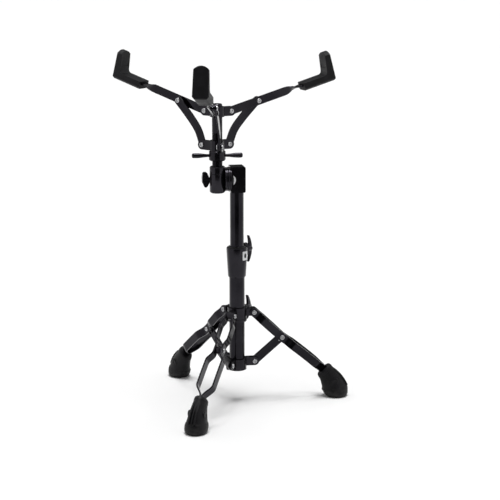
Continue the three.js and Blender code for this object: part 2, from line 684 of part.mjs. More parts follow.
/** The block on the upper tube, the disc-faced body beside it and the knob on the bolt through both. */
function buildTilter() {
  const head = turnedGroup(group, TILT_AZIMUTH);
  const bodyRight = tilterBodyR - tilterOffset;
  const bodyDiscEnd = bodyRight + TILTER_DISC_T;
  const blockDiscStart = bodyDiscEnd + SEAM;
  const blockLeft = blockDiscStart + TILTER_DISC_T;
  const blockBottom = TILT_AXIS_Z - TILTER_BLOCK_H / 2;
  const seatTop = blockBottom + TUBE_SEAT_DEPTH;

  const width = blockRight - blockLeft;
  const box = new THREE.BoxGeometry(width, 2 * blockRight, TILTER_BLOCK_H);
  box.translate(blockLeft + width / 2, 0, TILT_AXIS_Z);
  const blockDisc = axialPin(TILTER_DISC_R, blockDiscStart, blockLeft + 1, TILT_AXIS_Z, 32);
  const seat = drum(tubeSeatR, blockBottom - 1, seatTop + SEAM);
  const boltEnd = blockRight - 6;
  const boltHole = axialPin(BOLT_R + SEAM, -tilterOffset, boltEnd + SEAM, TILT_AXIS_Z, 16);
  const block = cut(join(box, blockDisc), seat, boltHole);
  add(head, 'tilter_block', block, blackCasting);

  const half = TILTER_BODY_H / 2;
  const barrel = turned([
    [0, -half],
    [tilterBodyR - 1.5, -half],
    [tilterBodyR, -half + 2],
    [tilterBodyR, half - 2],
    [tilterBodyR - 1.5, half],
    [0, half],
  ]);
  barrel.translate(-tilterOffset, 0, TILT_AXIS_Z);
  const bodyDisc = axialPin(TILTER_DISC_R - 0.5, bodyRight - 2, bodyDiscEnd, TILT_AXIS_Z, 32);
  const wellBottom = TILT_AXIS_Z + BOLT_R + 3;
  const well = drum(postBoreR, wellBottom, bodyTopZ + 5, HUB_SIDES).translate(-tilterOffset, 0, 0);
  const throughHole = axialPin(BOLT_R + SEAM, -2 * tilterOffset, 0, TILT_AXIS_Z, 16);
  const body = cut(join(barrel, bodyDisc), well, throughHole);
  add(head, 'tilter_body', body, blackCasting);

  const bodyLeft = -tilterOffset - tilterBodyR;
  const bolt = tiltKnob(-boltEnd, -bodyLeft);
  const boltMesh = add(head, 'tilter_wing_bolt', bolt, blackCasting);
  boltMesh.rotation.z = Math.PI;
  boltMesh.position.z = TILT_AXIS_Z;
}

// ---------------------------------------------------------------- basket

/** A hub: a barrel on the post with three pairs of cheeks, each pair centred on y = side. */
function hub(z, side, rootX) {
  const barrel = tube(hubOuterR, postBoreR, z - HUB_H / 2, z + HUB_H / 2, HUB_SIDES);
  const cheekMid = ARM_STRIP_T / 2 + SEAM + HUB_CHEEK_T / 2;
  const cheeks = ARM_NAMES.flatMap((_, i) =>
    [side - cheekMid, side + cheekMid].map((y) => {
      const outline = lugOutline(rootX, HUB_PIVOT_R, z, HUB_H - 1);
      return plate(outline, HUB_CHEEK_T, y).rotateZ(i * COPY_STEP);
    }),
  );
  const bore = drum(postBoreR, z - HUB_H, z + HUB_H, HUB_SIDES);
  const holes = ARM_NAMES.map((_, i) =>
    rivetHole({ r: HUB_PIVOT_R, z }).rotateZ(i * COPY_STEP),
  );
  return cut(join(barrel, ...cheeks), bore, ...holes);
}

/** The post, its nut with two handles, and the two hubs. */
function buildPost(basket) {
  const wellBottom = TILT_AXIS_Z + BOLT_R + 3;
  const postTop = upperHubZ + POST_ABOVE_HUB;
  const post = turned(
    [
      [0, wellBottom + SEAM],
      [POST_R, wellBottom + SEAM],
      [POST_R, postTop - 1.5],
      [POST_R - 1.5, postTop],
      [0, postTop],
    ],
    HUB_SIDES,
  );
  add(basket, 'basket_post', post, blackPlate);
  add(basket, 'upper_hub', hub(upperHubZ, 0, postBoreR - 1), blackCasting);
  add(basket, 'lower_hub', hub(lowerHubZ, linkSide, 0), blackCasting);

  const nutTop = nutBottomZ + NUT_H;
  const ring = turned([
    [nutR - 2, nutBottomZ],
    [nutR, nutBottomZ + 2],
    [nutR, nutTop - 2],
    [nutR - 2, nutTop],
    [postBoreR, nutTop],
    [postBoreR, nutBottomZ],
    [nutR - 2, nutBottomZ],
  ]);
  const nutZ = (nutBottomZ + nutTop) / 2;
  const tip = NUT_SPAN / 2;
  const handleProfile = [
    [0, nutR - 3],
    [2.7, nutR - 3],
    [2.9, nutR + 2],
    [4.4, tip - 14],
    [4.4, tip - 3],
    [3.2, tip - 0.7],
    [0, tip],
  ];
  const points = handleProfile.map(([r, h]) => new THREE.Vector2(r, h));
  const handles = [-1, 1].map((sign) =>
    new THREE.LatheGeometry(points, 14).rotateZ((-sign * Math.PI) / 2).translate(0, 0, nutZ),
  );
  const nut = join(ring, ...handles).rotateZ(NUT_AZIMUTH - BASKET_AZIMUTH);
  add(basket, 'basket_nut', nut, blackCasting);
}

/** Arm strip in its own frame: along X from the upper pivot, turned flat before the cradle. */
function armStrip() {
  const stations = stripStations(ARM_STRIP_W / 2, CRADLE_END - CRADLE_TAB_SHORT, 9);
  const place = ({ s, width }, across, through) => {
    const twist = (Math.PI / 2) * smooth(ARM_TWIST_START, ARM_TWIST_END, s);
    const w = across * width;
    const t = -through * ARM_STRIP_T;
    return new THREE.Vector3(
      s,
      t * Math.cos(twist) - w * Math.sin(twist),
      w * Math.cos(twist) + t * Math.sin(twist),
    );
  };
  const strip = barAlong(unitSquare(), stations, place);
  return cut(strip, rivetHole({ r: 0, z: 0 }), rivetHole({ r: ARM_MID_ALONG, z: 0 }));
}

/** Rubber cradle in the arm's frame: an L with an arched upright and a slot for the arm's tab. */
function cradle() {
  const side = new THREE.Shape();
  side.moveTo(CRADLE_START, -CRADLE_FLOOR);
  side.lineTo(CRADLE_END - 4, -CRADLE_FLOOR);
  side.quadraticCurveTo(CRADLE_END, -CRADLE_FLOOR, CRADLE_END, -CRADLE_FLOOR + 4);
  side.lineTo(CRADLE_END, CRADLE_TOP);
  side.lineTo(CRADLE_END - CRADLE_WALL_TOP, CRADLE_TOP);
  side.lineTo(CRADLE_END - CRADLE_WALL_FOOT, CRADLE_DECK);
  side.lineTo(CRADLE_START, CRADLE_DECK);
  side.closePath();
  const half = CRADLE_WIDTH / 2;
  const front = new THREE.Shape();
  front.moveTo(4 - half, -CRADLE_FLOOR - 1);
  front.lineTo(half - 4, -CRADLE_FLOOR - 1);
  front.lineTo(half, -CRADLE_FLOOR + 4);
  front.lineTo(half - 1, CRADLE_TOP - 6);
  front.quadraticCurveTo(half / 2, CRADLE_TOP, 0, CRADLE_TOP);
  front.quadraticCurveTo(-half / 2, CRADLE_TOP, 1 - half, CRADLE_TOP - 6);
  front.lineTo(-half, -CRADLE_FLOOR + 4);
  front.closePath();
  const run = CRADLE_END - CRADLE_START + 20;
  const settings = { depth: run, bevelEnabled: false, curveSegments: 6 };
  const along = new THREE.ExtrudeGeometry(front, settings);
  along.rotateX(Math.PI / 2).rotateZ(Math.PI / 2).translate(CRADLE_START - 10, 0, 0);
  const slotEnd = CRADLE_END - CRADLE_TAB_SHORT + SEAM;
  const slot = new THREE.BoxGeometry(
    slotEnd - CRADLE_START + 10,
    ARM_STRIP_W + 2 * SEAM,
    ARM_STRIP_T + 2 * SEAM,
  );
  slot.translate((slotEnd + CRADLE_START - 10) / 2, 0, 0);
  return cut(overlapOf(plate(side, CRADLE_WIDTH + 2), along), slot);
}

/** Link strip from the lower hub's pivot, at the origin, up to the arm's middle rivet. */
function link(midR, midZ) {
  const rivetEnd = new THREE.Vector3(midR, 0, midZ);
  const bend = new THREE.Vector3(LINK_BEND.r, 0, LINK_BEND.z);
  const bow = new THREE.Vector3(
    THREE.MathUtils.lerp(bend.x, midR, LINK_BOW.r),
    0,
    THREE.MathUtils.lerp(bend.z, midZ, LINK_BOW.z),
  );
  const line = new THREE.CatmullRomCurve3([rivetEnd, bow, bend, new THREE.Vector3()]);
  const length = line.getLength();
  const start = stripStations(ARM_STRIP_W / 2, length, 9);
  const foot = start
    .slice(0, 2)
    .reverse()
    .map(({ s, width }) => ({ s: length - s, width }));
  const place = ({ s, width }, across, through) => {
    const along = THREE.MathUtils.clamp(s / length, 0, 1);
    const tangent = line.getTangentAt(along);
    const beyond = Math.min(s, 0) + Math.max(s - length, 0);
    const wide = new THREE.Vector3(-tangent.z, 0, tangent.x);
    return line
      .getPointAt(along)
      .addScaledVector(tangent, beyond)
      .addScaledVector(wide, across * width)
      .add(new THREE.Vector3(0, -through * ARM_STRIP_T, 0));
  };
  return barAlong(unitSquare(), [...start, ...foot], place);
}

/** Where a point at this distance along an arm lies from the hub's pivot, at this slope. */
const onArm = (along, slope) => [along * Math.cos(slope), along * Math.sin(slope)];

/** How far the link's lower end drifts past the lower hub's rivet, halfway through the fold. */
function linkDrift(mid, linkRun) {
  const linkLength = Math.hypot(...linkRun);
  const foldedMid = onArm(ARM_MID_ALONG, ARM_FOLDED_SLOPE);
  const foldedRise = Math.sqrt(linkLength ** 2 - foldedMid[0] ** 2);
  const travel = foldedMid[1] + HUB_SPACING - foldedRise;
  const linkTurn = Math.atan2(...linkRun) - Math.asin(foldedMid[0] / linkLength);
  const armTurn = ARM_FOLDED_SLOPE - ARM_SLOPE;
  const back = ([x, z]) => [-x, -z];
  return halfwayDrift(back(mid), back(linkRun), [0, -HUB_SPACING], armTurn, linkTurn, travel);
}

/** Three arms with their cradles, and the links that tie them to the lower hub. */
function buildArms(basket) {
  const mid = onArm(ARM_MID_ALONG, ARM_SLOPE);
  const linkRun = [mid[0], mid[1] + HUB_SPACING];
  const drift = linkDrift(mid, linkRun);
  const slot = () => plate(driftSlot(drift, slotR), 3 * ARM_STRIP_T);
  const pairHalf = (linkSide + ARM_STRIP_T) / 2;
  const spacerHalf = (linkSide - ARM_STRIP_T) / 2 - SEAM;
  const spacer = { radius: RIVET_R + 2.5, from: -spacerHalf, to: spacerHalf };
  ARM_NAMES.forEach((name, i) => {
    const plane = turnedGroup(basket, i * COPY_STEP);
    const arm = new THREE.Group();
    arm.position.set(HUB_PIVOT_R, 0, upperHubZ);
    arm.rotation.y = -ARM_SLOPE;
    plane.add(arm);
    add(arm, `arm_${name}`, armStrip(), blackPlate);
    add(arm, `cradle_${name}`, cradle(), rubber);
    add(arm, `hub_rivet_${name}`, rivet(hubStack), brightSteel);
    const armRivet = add(arm, `arm_rivet_${name}`, rivet(pairHalf, [spacer]), brightSteel);
    armRivet.position.set(ARM_MID_ALONG, linkSide / 2, 0);

    const strip = cut(
      link(linkRun[0], linkRun[1]),
      slot(),
      rivetHole({ r: linkRun[0], z: linkRun[1] }),
    );
    add(plane, `link_${name}`, strip, blackPlate).position.set(HUB_PIVOT_R, linkSide, lowerHubZ);
    const linkRivet = add(plane, `link_rivet_${name}`, rivet(hubStack), brightSteel);
    linkRivet.position.set(HUB_PIVOT_R, linkSide, lowerHubZ);
  });
}

// ---------------------------------------------------------------- assembly

buildColumn();
buildHeightClamp();
buildLowerBracket();
buildLegCollar();
buildTripod();
buildTilter();
const basket = turnedGroup(
  group,
  BASKET_AZIMUTH,
  -tilterOffset * Math.cos(TILT_AZIMUTH),
  -tilterOffset * Math.sin(TILT_AZIMUTH),
);
buildPost(basket);
buildArms(basket);

group.updateMatrixWorld(true);
const reach = new THREE.Box3().setFromObject(group);
const middle = reach.getCenter(new THREE.Vector3());
group.position.set(-middle.x, -middle.y, -reach.min.z);

export default group;
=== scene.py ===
"""A folding snare drum stand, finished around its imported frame.

Every class works in millimetres about the column's axis, with the floor at zero height. A piece is
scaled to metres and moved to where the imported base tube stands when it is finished.
"""

import logging
import math
from collections.abc import Callable, Iterable, Sequence
from dataclasses import dataclass
from enum import Enum

import bmesh
import bpy
from mathutils import Matrix, Vector


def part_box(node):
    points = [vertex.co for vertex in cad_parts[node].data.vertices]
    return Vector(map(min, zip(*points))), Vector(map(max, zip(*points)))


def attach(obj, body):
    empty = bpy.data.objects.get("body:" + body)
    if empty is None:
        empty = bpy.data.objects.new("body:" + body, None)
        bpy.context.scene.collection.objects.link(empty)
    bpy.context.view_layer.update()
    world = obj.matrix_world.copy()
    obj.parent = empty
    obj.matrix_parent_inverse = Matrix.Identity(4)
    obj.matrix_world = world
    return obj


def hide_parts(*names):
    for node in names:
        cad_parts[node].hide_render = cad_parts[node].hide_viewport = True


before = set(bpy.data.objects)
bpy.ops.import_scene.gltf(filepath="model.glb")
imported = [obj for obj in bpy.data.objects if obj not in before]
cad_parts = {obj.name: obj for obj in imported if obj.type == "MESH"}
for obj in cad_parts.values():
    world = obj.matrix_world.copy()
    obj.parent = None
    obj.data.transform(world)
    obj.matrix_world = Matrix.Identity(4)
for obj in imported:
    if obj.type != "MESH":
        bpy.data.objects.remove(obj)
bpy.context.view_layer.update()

LOG = logging.getLogger("stand")

Point = tuple[float, float]
Colour = tuple[float, float, float]

MILLIMETRE = 0.001
SEAM = 0.3
SIDES = 72
THIRD_TURN = 2 * math.pi / 3
STRIP_CORNERS = ((-0.5, -0.5), (0.5, -0.5), (0.5, 0.5), (-0.5, 0.5))
SHARP = math.radians(38)
ROUNDED_ABOVE = math.radians(36)
DUST_COLOUR = (0.33, 0.31, 0.29, 1)
BASE_TUBE_BOTTOM = 61.0
LEG_NAMES = ("right", "back", "front")
ARM_NAMES = ("right", "left", "front")


def column_place() -> Matrix:
    """The matrix from the column's millimetres to the frame's metres."""
    low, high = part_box("base_tube")
    foot = Vector(((low.x + high.x) / 2, (low.y + high.y) / 2, low.z - BASE_TUBE_BOTTOM * MILLIMETRE))
    return Matrix.Translation(foot) @ Matrix.Scale(MILLIMETRE, 4)


COLUMN = column_place()


# ---------------------------------------------------------------- shapes


class Boolean(Enum):
    """How two solids are put together."""

    JOIN = "UNION"
    CUT = "DIFFERENCE"
    OVERLAP = "INTERSECT"


def tidy(shape: bmesh.types.BMesh) -> bmesh.types.BMesh:
    """Merges doubled vertices and turns every face outwards.

    Args:
        shape: the mesh to mend in place.

    Returns:
        The same mesh.
    """
    bmesh.ops.remove_doubles(shape, verts=shape.verts[:], dist=1e-4)
    bmesh.ops.recalc_face_normals(shape, faces=shape.faces[:])
    return shape


def lathe(profile: Sequence[Point], ring: bool = False, sides: int = SIDES) -> bmesh.types.BMesh:
    """Spins a profile about Z.

    Args:
        profile: radius and height of each corner.
        ring: True where the profile closes on itself instead of ending on the axis.
        sides: steps in a full turn.

    Returns:
        The turned solid.
    """
    shape = bmesh.new()
    corners = [shape.verts.new((radius, 0, height)) for radius, height in profile]
    pairs = list(zip(corners, corners[1:]))
    if ring:
        pairs.append((corners[-1], corners[0]))
    lines = [shape.edges.new(pair) for pair in pairs]
    bmesh.ops.spin(
        shape,
        geom=corners + lines,
        cent=(0, 0, 0),
        axis=(0, 0, 1),
        angle=2 * math.pi,
        steps=sides,
        use_merge=True,
    )
    return tidy(shape)


def pipe(outer: float, inner: float, bottom: float, top: float) -> bmesh.types.BMesh:
    """A plain round wall about Z."""
    return lathe([(outer, bottom), (outer, top), (inner, top), (inner, bottom)], ring=True)


def rod(radius: float, bottom: float, top: float) -> bmesh.types.BMesh:
    """A plain round bar about Z."""
    return lathe([(0, bottom), (radius, bottom), (radius, top), (0, top)])


def slab(outline: Sequence[Point], thickness: float, side: float = 0.0) -> bmesh.types.BMesh:
    """A flat plate standing in the XZ plane.

    Args:
        outline: corners as x and z.
        thickness: size along Y.
        side: the plate's middle along Y.

    Returns:
        The extruded plate.
    """
    shape = bmesh.new()
    corners = [shape.verts.new((x, side - thickness / 2, z)) for x, z in outline]
    shape.faces.new(corners)
    made = bmesh.ops.extrude_face_region(shape, geom=shape.faces[:])["geom"]
    raised = [item for item in made if isinstance(item, bmesh.types.BMVert)]
    bmesh.ops.translate(shape, verts=raised, vec=(0, thickness, 0))
    return tidy(shape)


def block(low: Sequence[float], high: Sequence[float]) -> bmesh.types.BMesh:
    """A box between two corners, the blank that cuts and joins start from."""
    shape = bmesh.new()
    bmesh.ops.create_cube(shape, size=1.0)
    spans = [b - a for a, b in zip(low, high)]
    middle = Vector([(a + b) / 2 for a, b in zip(low, high)])
    shape.transform(Matrix.Translation(middle) @ Matrix.Diagonal((*spans, 1)))
    return shape


def sweep(rings: Sequence[Sequence[Vector]]) -> bmesh.types.BMesh:
    """Extrudes a closed section from ring to ring and caps both ends.

    Args:
        rings: the section's corners at each station, in the same order throughout.

    Returns:
        The closed solid.
    """
    shape = bmesh.new()
    ring = [shape.verts.new(point) for point in rings[0]]
    lines = [shape.edges.new(pair) for pair in zip(ring, ring[1:] + ring[:1])]
    bmesh.ops.contextual_create(shape, geom=lines)
    for points in rings[1:]:
        made = bmesh.ops.extrude_edge_only(shape, edges=lines)["geom"]
        fresh = {item for item in made if isinstance(item, bmesh.types.BMVert)}
        follow = {}
        for corner in fresh:
            for line in corner.link_edges:
                if line.other_vert(corner) not in fresh:
                    follow[line.other_vert(corner)] = corner
        ring = [follow[v] for v in ring]
        for corner, point in zip(ring, points):
            corner.co = point
        lines = [shape.edges.get(pair) for pair in zip(ring, ring[1:] + ring[:1])]
    bmesh.ops.contextual_create(shape, geom=lines)
    return tidy(shape)


def turned(shape: bmesh.types.BMesh, *matrices: Matrix) -> bmesh.types.BMesh:
    """A copy of a shape, moved by the matrices in the order they are written in a product."""
    copy = shape.copy()
    for matrix in reversed(matrices):
        copy.transform(matrix)
    return copy


def about_z(angle: float) -> Matrix:
    """A turn about the upright axis, in radians."""
    return Matrix.Rotation(angle, 4, "Z")


def thirds(shape: bmesh.types.BMesh) -> list[bmesh.types.BMesh]:
    """Three copies of a shape, a third of a turn apart."""
    return [turned(shape, about_z(i * THIRD_TURN)) for i in range(3)]


def along_x(shape: bmesh.types.BMesh) -> bmesh.types.BMesh:
    """Lays a shape that stands along Z down along X."""
    shape.transform(Matrix.Rotation(math.pi / 2, 4, "Y"))
    return shape


def along_y(shape: bmesh.types.BMesh) -> bmesh.types.BMesh:
    """Lays a shape that stands along Z down along Y."""
    shape.transform(Matrix.Rotation(-math.pi / 2, 4, "X"))
    return shape


def arc(centre: Point, radius: float, start: float, end: float, steps: int = 16) -> list[Point]:
    """Points on a round stretch of an outline, its angles in degrees."""
    turns = [math.radians(start + (end - start) * i / steps) for i in range(steps + 1)]
    return [(centre[0] + radius * math.cos(t), centre[1] + radius * math.sin(t)) for t in turns]


def bent(start: Point, control: Point, end: Point, steps: int = 12) -> list[Point]:
    """Points on a quadratic curve, without its last one."""
    made = []
    for i in range(steps):
        t = i / steps
        weights = ((1 - t) ** 2, 2 * t * (1 - t), t * t)
        made.append(tuple(sum(w * p[k] for w, p in zip(weights, (start, control, end))) for k in (0, 1)))
    return made


def capsule(start: Point, end: Point, radius: float) -> list[Point]:
    """The outline of a strip with two round ends."""
    lean = math.degrees(math.atan2(end[1] - start[1], end[0] - start[0]))
    return arc(start, radius, lean + 90, lean + 270) + arc(end, radius, lean - 90, lean + 90)


def lug(root: float, pivot: Point, height: float) -> list[Point]:
    """The outline of a lug that is flat at its root and round about its pivot."""
    return [(root, pivot[1] - height / 2), *arc(pivot, height / 2, -90, 90), (root, pivot[1] + height / 2)]


def as_object(shape: bmesh.types.BMesh, name: str) -> bpy.types.Object:
    """Turns a bmesh into a linked object and frees it."""
    mesh = bpy.data.meshes.new(name)
    shape.to_mesh(mesh)
    shape.free()
    made = bpy.data.objects.new(name, mesh)
    bpy.context.scene.collection.objects.link(made)
    return made


def combine(mode: Boolean, base: bmesh.types.BMesh, *others: bmesh.types.BMesh) -> bmesh.types.BMesh:
    """Joins, cuts or overlaps solids.

    Args:
        mode: what is done with the others.
        base: the solid that is worked on.
        others: the solids it is joined to, cut by or overlapped with.

    Returns:
        One new solid. The solids given are used up.
    """
    worked = as_object(base, "worked")
    tools = [as_object(other, "tool") for other in others]
    for tool in tools:
        step = worked.modifiers.new("step", "BOOLEAN")
        step.operation = mode.value
        step.solver = "EXACT"
        step.object = tool
    bpy.context.view_layer.update()
    evaluated = worked.evaluated_get(bpy.context.evaluated_depsgraph_get())
    result = bmesh.new()
    result.from_mesh(evaluated.to_mesh())
    evaluated.to_mesh_clear()
    for used in (worked, *tools):
        mesh = used.data
        bpy.data.objects.remove(used)
        bpy.data.meshes.remove(mesh)
    bmesh.ops.remove_doubles(result, verts=result.verts[:], dist=2e-3)
    bmesh.ops.dissolve_degenerate(result, edges=result.edges[:], dist=2e-3)
    bmesh.ops.recalc_face_normals(result, faces=result.faces[:])
    return result


def smooth_step(start: float, end: float, value: float) -> float:
    """0 before start, 1 after end, and an even ease between."""
    share = min(max((value - start) / (end - start), 0.0), 1.0)
    return share * share * (3 - 2 * share)


def mix(a: float, b: float, share: float) -> float:
    """The value that lies at this share of the way from a to b."""
    return a + (b - a) * share


@dataclass(frozen=True)
class Route:
    """A line in the XZ plane through close points, walked by distance."""

    points: tuple[Vector, ...]

    def steps(self) -> list[float]:
        """Distance from the start to each point."""
        total = [0.0]
        for a, b in zip(self.points, self.points[1:]):
            total.append(total[-1] + (b - a).length)
        return total

    def length(self) -> float:
        """Distance from end to end."""
        return self.steps()[-1]

    def at(self, distance: float) -> Vector:
        """The point at a distance, straight on past either end."""
        marks = self.steps()
        last = len(marks) - 2
        index = next((i for i in range(last + 1) if marks[i + 1] >= distance), last)
        share = (distance - marks[index]) / (marks[index + 1] - marks[index])
        return self.points[index].lerp(self.points[index + 1], share)

    def heading(self, distance: float) -> Vector:
        """The direction of travel at a distance, averaged over a short stretch."""
        probe = 1.5
        return (self.at(distance + probe) - self.at(distance - probe)).normalized()


def strip_stations(end_radius: float, length: float, round_both: bool) -> list[Point]:
    """Distances along a strip and its width there, with one or both ends round.

    Args:
        end_radius: radius of a round end, half the strip's width.
        length: distance from the first pivot to the last.
        round_both: True where the far end is round too.

    Returns:
        Pairs of distance and width.
    """
    turns = [math.radians(a) for a in range(15, 90, 15)]
    start = [(-end_radius * math.cos(t), 2 * end_radius * math.sin(t)) for t in turns]
    count = round(length / 3)
    rest = [(length * i / count, 2 * end_radius) for i in range(count + 1)]
    far = [(length - s, width) for s, width in reversed(start)] if round_both else []
    return start + rest + far


# ---------------------------------------------------------------- finishes


@dataclass(frozen=True)
class Effect:
    """A shader node group with named inputs and outputs, built once."""

    name: str
    inputs: tuple[tuple[str, str], ...]
    output: tuple[str, str]
    fill: Callable[[bpy.types.NodeTree, bpy.types.Node, bpy.types.Node], None]

    def tree(self) -> bpy.types.NodeTree:
        """The group's node tree, made on first use."""
        if self.name in bpy.data.node_groups:
            return bpy.data.node_groups[self.name]
        tree = bpy.data.node_groups.new(self.name, "ShaderNodeTree")
        for label, kind in self.inputs:
            tree.interface.new_socket(label, in_out="INPUT", socket_type=kind)
        tree.interface.new_socket(self.output[0], in_out="OUTPUT", socket_type=self.output[1])
        self.fill(tree, tree.nodes.new("NodeGroupInput"), tree.nodes.new("NodeGroupOutput"))
        return tree

    def place(self, tree: bpy.types.NodeTree, **values: object) -> bpy.types.Node:
        """Puts the group in a material's tree.

        Args:
            tree: the material's node tree.
            values: a number or colour for an input, or the output socket that feeds it.

        Returns:
            The group node.
        """
        node = tree.nodes.new("ShaderNodeGroup")
        node.node_tree = self.tree()
        for label, value in values.items():
            socket = node.inputs[label.replace("_", " ").capitalize()]
            if isinstance(value, bpy.types.NodeSocket):
                tree.links.new(value, socket)
            else:
                socket.default_value = value
        return node


def noise_in(
    tree: bpy.types.NodeTree, vector: bpy.types.NodeSocket, scale: object, detail: float
) -> bpy.types.NodeSocket:
    """A noise texture's value inside a group.

    Args:
        tree: the group's tree.
        vector: the coordinates it reads.
        scale: a number, or the socket that sets it.
        detail: how many finer layers it has.

    Returns:
        The noise's value socket.
    """
    noise = tree.nodes.new("ShaderNodeTexNoise")
    noise.inputs["Detail"].default_value = detail
    tree.links.new(vector, noise.inputs["Vector"])
    if isinstance(scale, bpy.types.NodeSocket):
        tree.links.new(scale, noise.inputs["Scale"])
    else:
        noise.inputs["Scale"].default_value = scale
    return noise.outputs["Fac"]


def ramp_in(
    tree: bpy.types.NodeTree,
    value: bpy.types.NodeSocket,
    low: float,
    high: float,
    to_low: object = 0.0,
    to_high: object = 1.0,
) -> bpy.types.NodeSocket:
    """Maps a value smoothly from one range to another.

    Args:
        tree: the group's tree.
        value: the socket that is mapped.
        low: the value that becomes to_low.
        high: the value that becomes to_high.
        to_low: a number or a socket.
        to_high: a number or a socket.

    Returns:
        The mapped value's socket.
    """
    node = tree.nodes.new("ShaderNodeMapRange")
    node.interpolation_type = "SMOOTHSTEP"
    node.inputs["From Min"].default_value = low
    node.inputs["From Max"].default_value = high
    tree.links.new(value, node.inputs["Value"])
    for label, end in (("To Min", to_low), ("To Max", to_high)):
        if isinstance(end, bpy.types.NodeSocket):
            tree.links.new(end, node.inputs[label])
        else:
            node.inputs[label].default_value = end
    return node.outputs["Result"]


def colour_mix_in(
    tree: bpy.types.NodeTree, share: bpy.types.NodeSocket, a: bpy.types.NodeSocket, b: bpy.types.NodeSocket
) -> bpy.types.NodeSocket:
    """A mix of two colours by a share."""
    node = tree.nodes.new("ShaderNodeMix")
    node.data_type = "RGBA"
    tree.links.new(share, node.inputs["Factor"])
    tree.links.new(a, node.inputs["A"])
    tree.links.new(b, node.inputs["B"])
    return next(s for s in node.outputs if s.type == "RGBA")


def sums_in(
    tree: bpy.types.NodeTree, operation: str, a: bpy.types.NodeSocket, b: object
) -> bpy.types.NodeSocket:
    """A Math node on a socket and a second socket or number."""
    node = tree.nodes.new("ShaderNodeMath")
    node.operation = operation
    tree.links.new(a, node.inputs[0])
    if isinstance(b, bpy.types.NodeSocket):
        tree.links.new(b, node.inputs[1])
    else:
        node.inputs[1].default_value = b
    return node.outputs[0]


def fill_grain(tree: bpy.types.NodeTree, given: bpy.types.Node, out: bpy.types.Node) -> None:
    """Two sizes of fine bumps, as in moulded rubber, cast metal or plating."""
    fine = noise_in(tree, given.outputs["Position"], given.outputs["Scale"], 3)
    wide_scale = sums_in(tree, "MULTIPLY", given.outputs["Scale"], 0.21)
    wide = noise_in(tree, given.outputs["Position"], wide_scale, 2)
    tree.links.new(sums_in(tree, "ADD", fine, sums_in(tree, "MULTIPLY", wide, 0.8)), out.inputs["Height"])


def fill_smudges(tree: bpy.types.NodeTree, given: bpy.types.Node, out: bpy.types.Node) -> None:
    """Roughness that drifts between a clean and a handled value, with faint finger marks."""
    broad = noise_in(tree, given.outputs["Position"], given.outputs["Scale"], 4)
    mark_scale = sums_in(tree, "MULTIPLY", given.outputs["Scale"], 5.0)
    marks = noise_in(tree, given.outputs["Position"], mark_scale, 2)
    both = sums_in(tree, "ADD", broad, sums_in(tree, "MULTIPLY", marks, 0.35))
    mapped = ramp_in(tree, both, 0.5, 0.85, given.outputs["Clean"], given.outputs["Handled"])
    tree.links.new(mapped, out.inputs["Roughness"])


def fill_tone(tree: bpy.types.NodeTree, given: bpy.types.Node, out: bpy.types.Node) -> None:
    """A colour that drifts between two tones in soft patches."""
    clouds = noise_in(tree, given.outputs["Position"], given.outputs["Scale"], 5)
    patches = ramp_in(tree, clouds, 0.35, 0.65)
    mixed = colour_mix_in(tree, patches, given.outputs["Deep"], given.outputs["Pale"])
    tree.links.new(mixed, out.inputs["Colour"])


def fill_dust(tree: bpy.types.NodeTree, given: bpy.types.Node, out: bpy.types.Node) -> None:
    """Pale floor dust that is thickest at floor level and breaks up as it rises."""
    split = tree.nodes.new("ShaderNodeSeparateXYZ")
    tree.links.new(given.outputs["Position"], split.inputs["Vector"])
    low = ramp_in(tree, split.outputs["Z"], 0.0, 0.028, 1.0, 0.0)
    patches = ramp_in(tree, noise_in(tree, given.outputs["Position"], 160.0, 5), 0.35, 0.7)
    amount = sums_in(tree, "MULTIPLY", sums_in(tree, "MULTIPLY", low, patches), given.outputs["Amount"])
    mixed = colour_mix_in(tree, amount, given.outputs["Clean"], given.outputs["Dust"])
    tree.links.new(mixed, out.inputs["Colour"])


VECTOR = "NodeSocketVector"
NUMBER = "NodeSocketFloat"
COLOUR = "NodeSocketColor"
GRAIN = Effect("Fine grain", (("Position", VECTOR), ("Scale", NUMBER)), ("Height", NUMBER), fill_grain)
SMUDGES = Effect(
    "Handling smudges",
    (("Position", VECTOR), ("Scale", NUMBER), ("Clean", NUMBER), ("Handled", NUMBER)),
    ("Roughness", NUMBER),
    fill_smudges,
)
TONE = Effect(
    "Tone drift",
    (("Position", VECTOR), ("Scale", NUMBER), ("Deep", COLOUR), ("Pale", COLOUR)),
    ("Colour", COLOUR),
    fill_tone,
)
DUST = Effect(
    "Floor dust",
    (("Position", VECTOR), ("Amount", NUMBER), ("Clean", COLOUR), ("Dust", COLOUR)),
    ("Colour", COLOUR),
    fill_dust,
)


